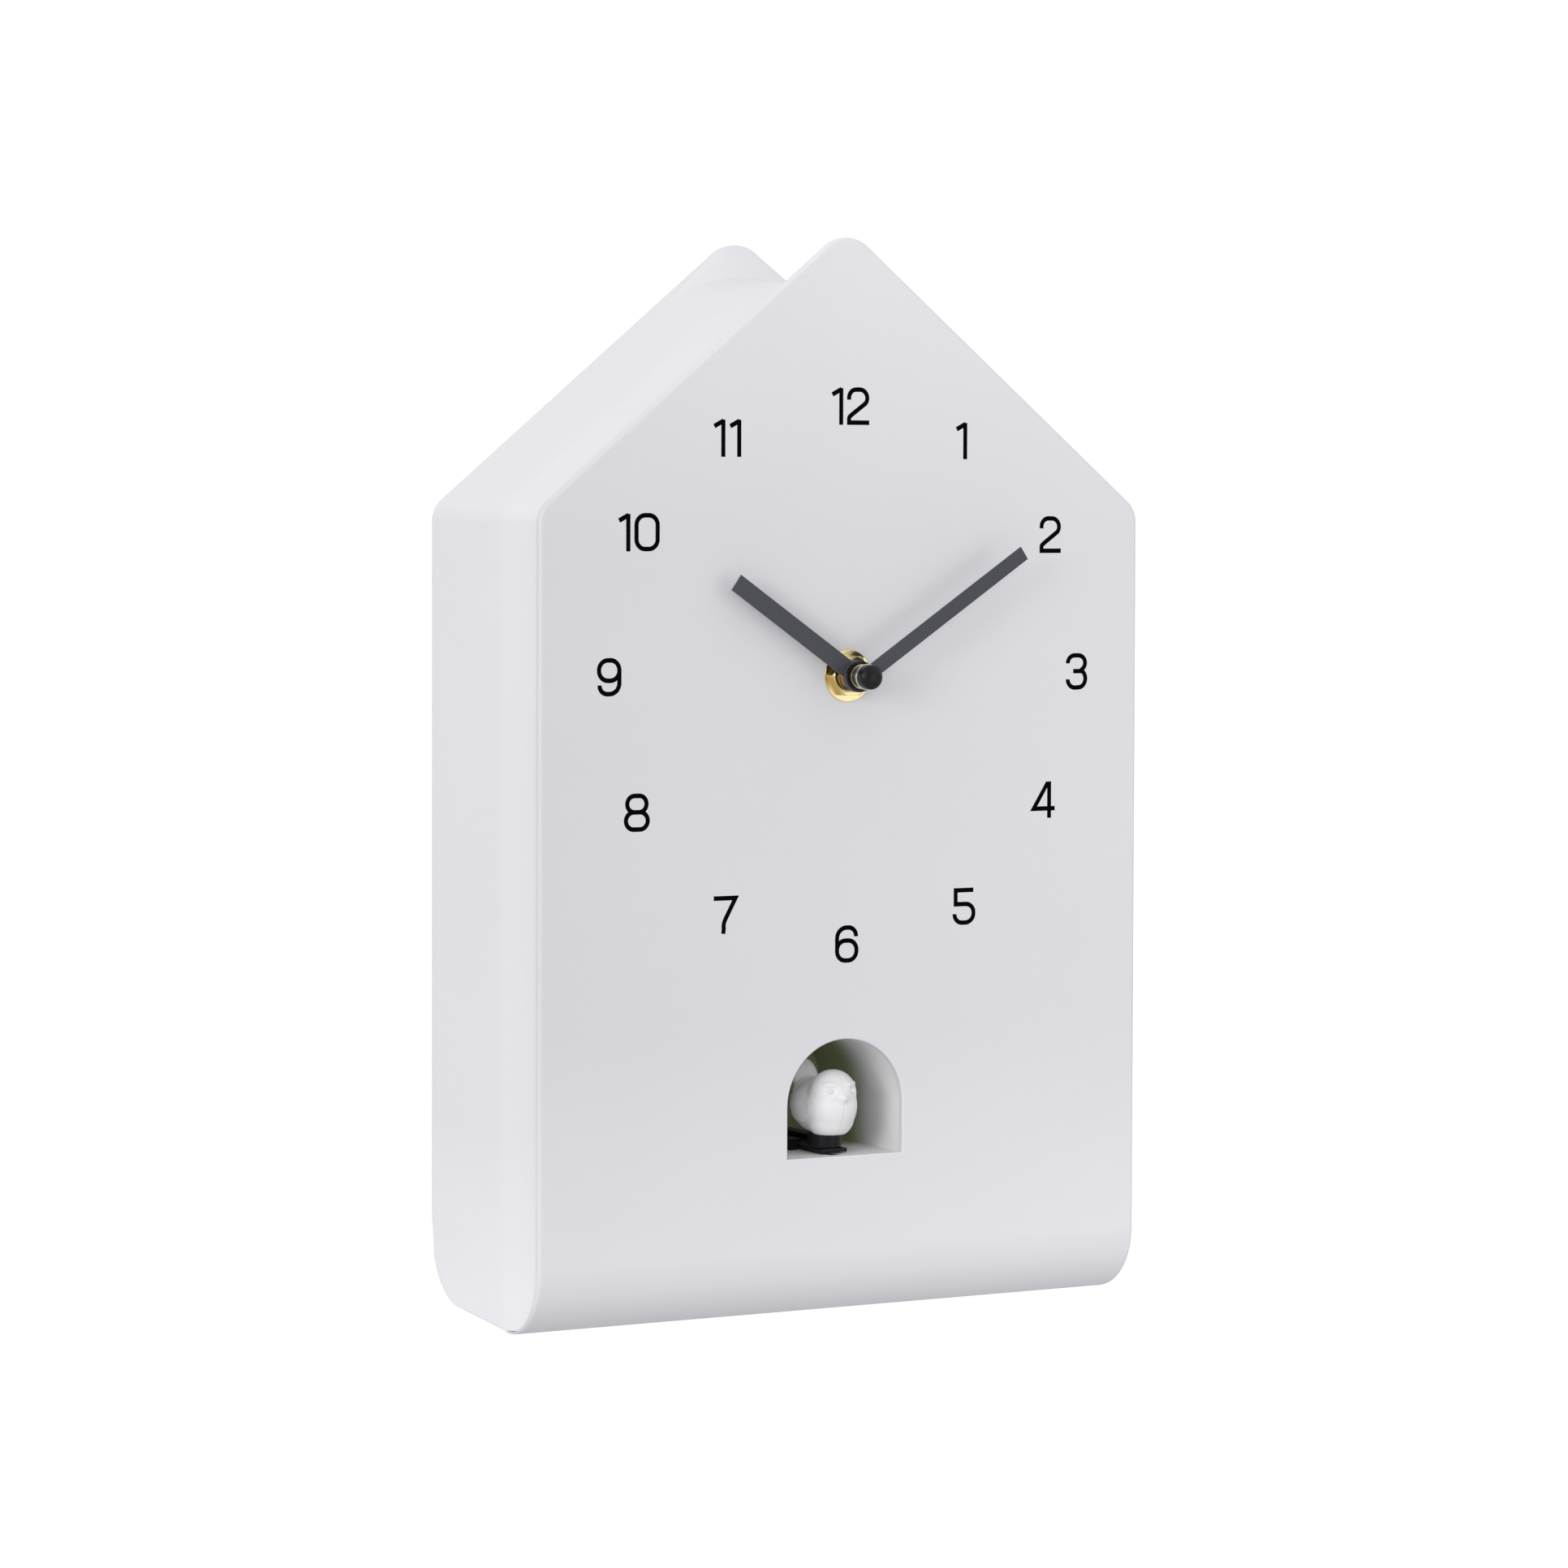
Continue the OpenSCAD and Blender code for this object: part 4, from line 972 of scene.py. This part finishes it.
def shape_bird(form):
    """Adds the beak and the relief to the smoothed form."""
    form.normal_update()
    moves = []
    for v in form.verts:
        p = v.co
        away = math.hypot(p.x / 1.15, p.z - BEAK.z - 0.35)
        pull = max(0, 1 - away / BEAK_R) ** 0.7 if p.y < HEAD_Y else 0
        moves.append((v, (BEAK - p) * pull * 0.92 + v.normal * bird_relief(p) * (1 - pull)))
    for v, move in moves:
        v.co += move


def bird_halves():
    """The bird in its two moulded halves, with a flat underside."""
    form = bird_form()
    shape_bird(form)
    for v in form.verts:
        v.co.z = max(v.co.z, BELLY_Z)
    form.transform(Matrix.Translation(BIRD_O) @ Matrix.Scale(MM, 4))
    whole = bpy.data.meshes.new("bird_whole")
    form.to_mesh(whole)
    form.free()
    seam = 0.02 * MM
    for side, name, node in ((-1, "bird_left", "bird_left_half"), (1, "bird_right", "bird_right_half")):
        half = bmesh.new()
        half.from_mesh(whole)
        cut = bmesh.ops.bisect_plane(half, geom=half.verts[:] + half.edges[:] + half.faces[:], dist=1e-7,
                                     plane_co=(side * seam, 0, 0), plane_no=(side, 0, 0), clear_inner=True)
        rim = [e for e in cut["geom_cut"] if isinstance(e, bmesh.types.BMEdge)]
        bmesh.ops.holes_fill(half, edges=rim)
        obj = finish_mesh(name, half, 50)
        dress(obj, "bird_white")
        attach(obj, "bird_carriage")
        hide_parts(node)


bird_halves()


# ---- Centre stack ----

def hand_cap():
    """Domed black cap over the arbor's end."""
    lo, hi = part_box("hand_cap")
    r = hi.x
    front, back = lo.y, hi.y
    dome_h = 1.5 * MM
    edge_r = 0.45 * MM
    chamfer = 0.2 * MM
    steps = 8
    flatness = 0.985
    profile = [(0, back), (r - chamfer, back), (r, back - chamfer), (r, front + dome_h + edge_r)]
    for k in range(steps + 1):
        a = math.pi / 2 * k / steps
        out = r * math.cos(a * flatness) if k < steps else 0
        profile.append((out, front + dome_h * (1 - math.sin(a))))
    obj = lathe("cap_dome", profile)
    dress(obj, "cap_black")
    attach(obj, "minute_group")
    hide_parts("hand_cap")


hand_cap()


def collar(name, r_in, r_out, front, back, slot, body, edge=0.12 * MM):
    """Thin turned ring on the hands' axis with softened rims."""
    profile = [(r_in, back), (r_out, back), (r_out, front + edge),
               (r_out - edge * 0.3, front + edge * 0.3), (r_out - edge, front), (r_in, front)]
    obj = lathe(name, profile)
    dress(obj, slot)
    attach(obj, body)


HOUR_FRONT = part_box("hour_hand")[0].y
MINUTE_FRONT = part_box("minute_hand")[0].y
collar("hour_collar", 2.6 * MM, 4.4 * MM, HOUR_FRONT - 0.75 * MM, HOUR_FRONT - 0.01 * MM, "cap_black",
       "hour_group")
collar("hour_bush", 2.6 * MM, 3.5 * MM, HOUR_FRONT - 1.3 * MM, HOUR_FRONT - 0.74 * MM, "polished_brass",
       "hour_group")
collar("cap_rim", 3.3 * MM, 3.72 * MM, MINUTE_FRONT - 1.0 * MM, MINUTE_FRONT - 0.7 * MM, "bright_steel",
       "minute_group", edge=0.08 * MM)


# ---- Springs ----

def coil(bm, foot, axis, length, r, wire_r, turns, flat_turns=0.8):
    """Adds a closed wire helix that stands on foot along axis, with its end turns laid flat."""
    ring, steps = 10, 28
    side = Vector((1, 0, 0))
    other = axis.cross(side)
    count = int(turns * steps)
    loops = []
    for k in range(count + 1):
        turn = turns * k / count
        rise = min(max((turn - flat_turns) / (turns - 2 * flat_turns), 0), 1)
        low = wire_r + 2 * wire_r * min(turn / flat_turns, 1)
        high = length - wire_r - 2 * wire_r * min((turns - turn) / flat_turns, 1)
        out = side * math.cos(math.tau * turn) + other * math.sin(math.tau * turn)
        mid = foot + axis * (low + (high - low) * rise) + out * r
        loops.append([mid + out * (wire_r * math.cos(a)) + axis * (wire_r * math.sin(a))
                      for a in [math.tau * j / ring for j in range(ring)]])
    rings = loft(bm, loops)
    bm.faces.new(rings[0])
    bm.faces.new(rings[-1])


def spring_piece(name, bm, node):
    """Bright wire in place of a CAD spring."""
    obj = finish_mesh(name, bm)
    dress(obj, "bright_steel")
    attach(obj, "casing")
    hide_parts(node)
    return obj


def button_spring():
    """Coil under the test button, at one length."""
    lo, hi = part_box("button_spring")
    wire_r = 0.16 * MM
    length = hi.y - lo.y
    foot = Vector(((lo.x + hi.x) / 2, lo.y, (lo.z + hi.z) / 2))
    bm = bmesh.new()
    coil(bm, foot, Vector((0, 1, 0)), length, (hi.x - lo.x) / 2 - wire_r, wire_r, 3.5, flat_turns=0.5)
    obj = spring_piece("button_coil", bm, "button_spring")
    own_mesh(obj)


def battery_springs():
    """One coil at the negative end of each cell."""
    lo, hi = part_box("battery_springs")
    points = [v.co for v in nodes["battery_springs"].data.vertices]
    width = (hi.x - lo.x) / 3
    wire_r = 0.3 * MM
    bm = bmesh.new()
    for k in range(3):
        own = [p for p in points if lo.x + k * width <= p.x <= lo.x + (k + 1) * width]
        low, high = [Vector([pick(p[i] for p in own) for i in range(3)]) for pick in (min, max)]
        foot = Vector(((low.x + high.x) / 2, (low.y + high.y) / 2, low.z))
        coil(bm, foot, Vector((0, 0, 1)), high.z - low.z, (high.x - low.x) / 2 - wire_r, wire_r, 5)
    spring_piece("battery_coils", bm, "battery_springs")


button_spring()
battery_springs()


# ---- Rounded edges of the CAD nodes, in millimetres ----

EDGES = {"minute_hand": 0.12, "hour_hand": 0.12, "back_cover": 0.35, "battery_door": 0.3,
         "niche_liner": 0.3, "bird_post": 0.25, "slide_rack": 0.15, "hex_nut": 0.12,
         "brass_washer": 0.1, "cap_ring": 0.08, "set_knob": 0.2, "slide_guides": 0.2,
         "test_button": 0.25, "volume_slider": 0.1, "mode_slider": 0.1, "wall_pads": 0.2}
for node, width in EDGES.items():
    soften(node, width * MM)


# ---- Stage and light ----

BACKDROP = -CAMERA_FROM.normalized()
FLOOR_DROP = 0.62


def facing(tree, vector, low, high):
    """0 to 1 as a direction turns towards the white backdrop behind the clock."""
    unit = tree.nodes.new("ShaderNodeVectorMath")
    unit.operation = "NORMALIZE"
    link(tree, vector, unit.inputs[0])
    dot = tree.nodes.new("ShaderNodeVectorMath")
    dot.operation = "DOT_PRODUCT"
    dot.inputs[1].default_value = BACKDROP
    link(tree, unit.outputs["Vector"], dot.inputs[0])
    return eased(tree, dot.outputs["Value"], low, high)


def combine(tree, operation, a, b):
    """Arithmetic on two sockets or numbers."""
    node = tree.nodes.new("ShaderNodeMath")
    node.operation = operation
    for value, socket in ((a, node.inputs[0]), (b, node.inputs[1])):
        if isinstance(value, float):
            socket.default_value = value
        else:
            link(tree, value, socket)
    return node.outputs["Value"]


def floor():
    """Pale floor well below the hanging clock; it runs up into the white backdrop behind."""
    bm = bmesh.new()
    bmesh.ops.create_circle(bm, cap_ends=True, segments=96, radius=30,
                            matrix=Matrix.Translation((0, 0, BASE_Z - FLOOR_DROP)))
    mesh = bpy.data.meshes.new("floor")
    bm.to_mesh(mesh)
    bm.free()
    obj = bpy.data.objects.new("floor", mesh)
    scene.collection.objects.link(obj)
    mat, tree, shader = new_material("floor_pale")
    link(tree, ramp(tree, noise(tree, 3, 4), [(0.3, (0.58, 0.58, 0.59)), (0.7, (0.62, 0.62, 0.63))]),
         shader.inputs["Base Color"])
    shader.inputs["Roughness"].default_value = 0.9
    glow = tree.nodes.new("ShaderNodeEmission")
    glow.inputs["Strength"].default_value = 1.05
    length = tree.nodes.new("ShaderNodeVectorMath")
    length.operation = "LENGTH"
    link(tree, place(tree), length.inputs[0])
    far = eased(tree, length.outputs["Value"], 1.5, 2.5)
    mix = tree.nodes.new("ShaderNodeMixShader")
    link(tree, combine(tree, "MULTIPLY", far, facing(tree, place(tree), 0.70, 0.88)), mix.inputs["Fac"])
    link(tree, shader.outputs["BSDF"], mix.inputs[1])
    link(tree, glow.outputs["Emission"], mix.inputs[2])
    link(tree, mix.outputs["Shader"], tree.nodes["Material Output"].inputs["Surface"])
    obj.data.materials.append(mat)


def surroundings(sides):
    """Soft studio light from (axis, sign, strength) sides, with a white backdrop behind the clock."""
    world = bpy.data.worlds.new("studio")
    scene.world = world
    world.use_nodes = True
    tree = world.node_tree
    direction = tree.nodes.new("ShaderNodeTexCoord").outputs["Generated"]
    toward = axes(tree, direction)
    total = 0.0
    for axis, sign, strength in sides:
        share = combine(tree, "MAXIMUM", combine(tree, "MULTIPLY", toward[axis], sign), 0.0)
        total = combine(tree, "ADD", total, combine(tree, "MULTIPLY", share, strength))
    backdrop = facing(tree, direction, 0.86, 0.94)
    mix = tree.nodes.new("ShaderNodeMix")
    link(tree, backdrop, mix.inputs["Factor"])
    link(tree, total, mix.inputs["A"])
    mix.inputs["B"].default_value = 1.05
    back = tree.nodes["Background"]
    back.inputs["Color"].default_value = (1, 1, 1, 1)
    link(tree, mix.outputs["Result"], back.inputs["Strength"])


def soft_light(name, where, size, power):
    """Rectangular lamp aimed at the dial's centre."""
    data = bpy.data.lights.new(name, "AREA")
    data.shape = "RECTANGLE"
    data.size, data.size_y = size
    data.energy = power
    obj = bpy.data.objects.new(name, data)
    scene.collection.objects.link(obj)
    obj.location = where
    obj.rotation_euler = (DIAL_CENTRE - Vector(where)).to_track_quat("-Z", "Y").to_euler()


floor()
surroundings((("X", -1.0, 0.41), ("X", 1.0, 0.57), ("Y", -1.0, 0.3), ("Y", 1.0, 0.55), ("Z", 1.0, 0.7)))
soft_light("key", (-2.3, -1.35, 0.35), (0.9, 0.9), 16.5)
soft_light("front", (-0.9, -1.9, 0.25), (0.7, 0.7), 4.5)
soft_light("fill", (0.94, -1.83, -0.2), (0.9, 0.9), 2)
soft_light("low_left", (-1.5, -1.3, -0.7), (0.9, 0.4), 1)
scene.view_settings.view_transform = "Standard"
scene.view_settings.look = "None"

bpy.context.view_layer.update()
